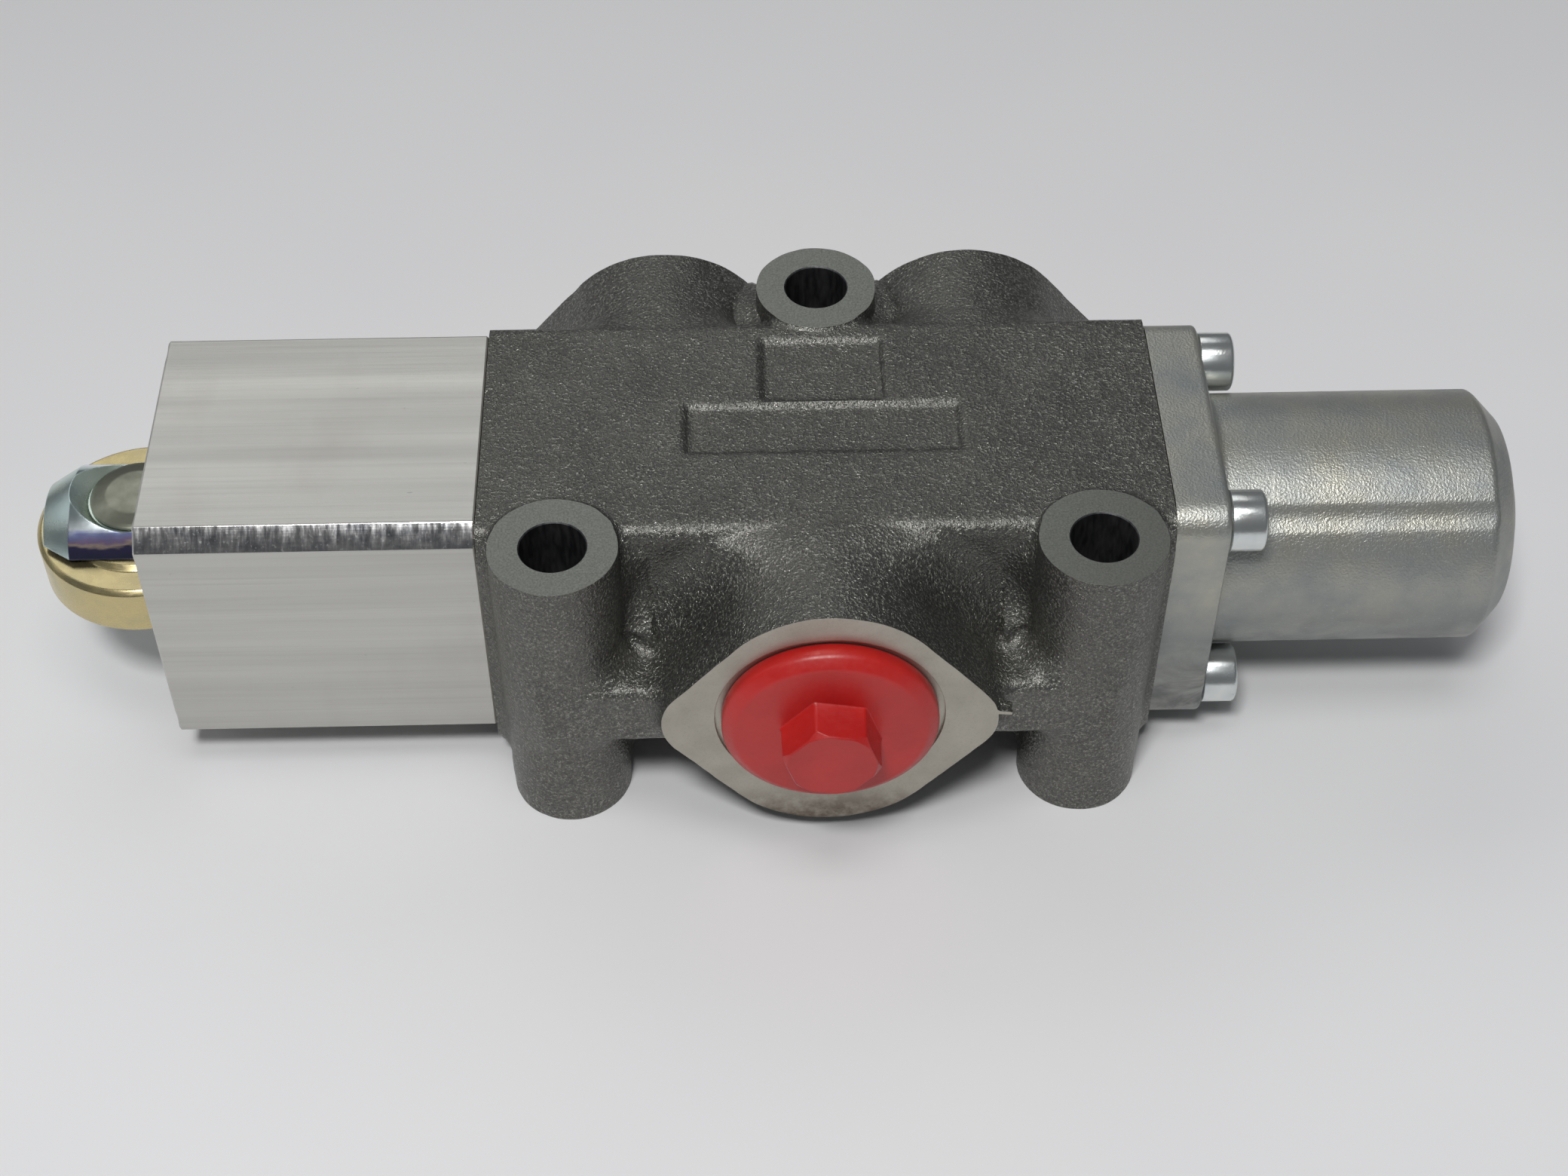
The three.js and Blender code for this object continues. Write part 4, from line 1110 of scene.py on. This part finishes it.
def make_plug(name, x, side):
    """A moulded cup, open inwards, with a flange and a hexagon."""
    seat = PORT_FACE_Y - 0.35
    face = seat + 3.4
    cup_r, inner_r, flange_r = 9.1, 7.4, 14.8
    outside = rounded([
        (seat - 10, inner_r), (seat - 10, cup_r - 0.3, 0.1), (seat - 9.4, cup_r, 0.2),
        (seat, cup_r), (seat, flange_r - 0.1), (seat + 0.2, flange_r),
        (face - 1.3, flange_r, 1.0), (face, 13.2, 1.2), (face, 7.8), (face, 0),
    ])
    inside = [(seat + 0.6, 0), (seat + 0.6, inner_r)]
    profile = [(side * a, r) for a, r in outside + inside]
    cup = turned(name, profile, "y", (x, 0, AXIS_Z), RED)
    carve(cup, "UNION", [make_hexagon(x, side, face)])
    shaded(cup, 28)
    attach(cup, "housing")
    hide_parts(name.replace("plug_cap", "port_plug"))


def make_hexagon(x, side, face):
    """The plug's hexagon, whose far corners are chamfered all round."""
    def outline(inset):
        r = HEX_R - inset
        turns = [math.radians(HEX_TURN + 60 * k) for k in range(6)]
        return rounded([(r * math.sin(t), r * math.cos(t), 0.6) for t in turns], closed=True)

    copies = [(face - 1, -0.5), (face, -0.2), (face + 0.35, 0.0)]
    copies += [(HEX_END - 0.2, 0.15), (HEX_END, 0.35)]
    hexagon = drawn("hexagon", outline, copies, lambda d, a, b: (x + a, side * d, AXIS_Z + b), RED)
    chamfer = [(30, 0), (30, 9.6), (41.2, 9.6), (HEX_END + 0.1, 5.9), (HEX_END + 0.1, 0)]
    chamfer = [(side * a, r) for a, r in chamfer]
    return carve(hexagon, "INTERSECT", [turned("chamfer", chamfer, "y", (x, 0, AXIS_Z), RED)])


# ---- carried-over nodes ----

SEALS = ("spool_seal_left", "spool_seal_right", "fork_wiper")
RETAINERS = ("seal_retainer_left", "seal_retainer_right")
SEATS = ("spring_seat_inner", "spring_seat_outer")
CARRIED = {
    "ground_steel": (GROUND, ("spool", "spool_link_pin")),
    "seal_rubber": (RUBBER, SEALS),
    "washer_steel": (WASHER, RETAINERS + SEATS),
    "screw_zinc": (SCREW_ZINC, ("spool_end_bolt",)),
    "bush_bronze": (BRONZE, ("roller_bush",)),
}


def dress_nodes():
    """Gives each CAD solid that stays visible its material."""
    for slot, (material, nodes) in CARRIED.items():
        for node in nodes:
            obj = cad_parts[node]
            obj.data.materials.clear()
            obj.data.materials.append(material)
            shaded(obj, 40)


# ---- stage ----


def make_floor():
    """A pale sheet, with painted shade that darkens it a little towards its far left."""
    g = Graph("pale_floor", (0.78, 0.78, 0.785), 0, 0.6, specular=0.25)
    tone = g.noise(60, 2, 0.4)
    speck = g.noise(2.5, 2, 0.5)
    colour = g.ramp(tone, (0.3, (0.755, 0.755, 0.765)), (0.7, (0.78, 0.78, 0.785)))
    # Painted shade: the floor darkens towards the far left.
    away = g.sums("MULTIPLY_ADD", g.along("X"), -0.35, g.along("Y"))
    colour = g.mix(g.ramp(away, (0.0, 0.0), (0.45, 1.0)), colour, (0.6, 0.6, 0.605))
    g.bump(speck, 0.02)
    material = g.done(colour)
    half, top = 6000, -0.05
    corners = [(a * half, b * half, top) for a, b in ((-1, -1), (1, -1), (1, 1), (-1, 1))]
    floor = meshed("floor", corners, [(0, 1, 2, 3)], material)


def lamp(name, where, aim, size, power):
    """A rectangular lamp at where that points at aim."""
    data = bpy.data.lights.new(name, "AREA")
    data.shape = "RECTANGLE"
    data.size, data.size_y = size
    data.energy = power
    obj = linked(name, data)
    obj.location = where
    obj.rotation_euler = (Vector(aim) - Vector(where)).to_track_quat("-Z", "Y").to_euler()


def make_lights():
    world = bpy.data.worlds.new("studio")
    bpy.context.scene.world = world
    world.use_nodes = True
    background = world.node_tree.nodes["Background"]
    background.inputs["Color"].default_value = (0.93, 0.96, 1.0, 1)
    background.inputs["Strength"].default_value = 0.12
    lamp("key", (-0.12, -0.46, 0.85), (0.05, -0.1, 0), (0.2, 0.13), 5.3)
    lamp("overhead", (0, -0.2, 1.1), (0, 0, 0), (0.5, 0.3), 1.9)
    lamp("back_panel", (-0.22, 0.8, 0.85), (-0.05, 0, 0.03), (1.0, 0.55), 1.8)
    lamp("left_panel", (-1.1, 0.35, 0.8), (0, 0, 0.05), (1.0, 1.0), 1.6)


def make_camera():
    data = bpy.data.cameras.new("camera")
    data.sensor_width = 36
    data.sensor_fit = "HORIZONTAL"
    data.lens = 58.58
    data.clip_start = 0.01
    data.clip_end = 50
    camera = linked("camera", data)
    camera.location = (-0.00546, -0.25659, 0.29432)
    pitch, yaw, roll = math.radians(47.62), math.radians(1.47), math.radians(-0.05)
    camera.rotation_euler = (math.pi / 2 - pitch, roll, -yaw)
    bpy.context.scene.camera = camera


make_body()
make_block()
make_fork()
make_roller()
make_roller_pin()
make_cap()
make_spring()
for i, (y, z) in enumerate(SCREW_PLACES):
    block_seat = BLOCK_LEFT + COUNTERBORE_DEPTH - 0.15
    cap_seat = FLANGE_FACE + 0.15
    make_screw(f"block_bolt_{i + 1}", f"block_screw_{i + 1}", block_seat, -1, 50, y, z)
    make_screw(f"cap_bolt_{i + 1}", f"cap_screw_{i + 1}", cap_seat, 1, 16, y, z)
for name, (x, side) in PORTS.items():
    make_plug(f"plug_cap_{name}", x, side)
dress_nodes()
make_floor()
make_lights()
make_camera()
bpy.context.scene.view_settings.view_transform = "Standard"
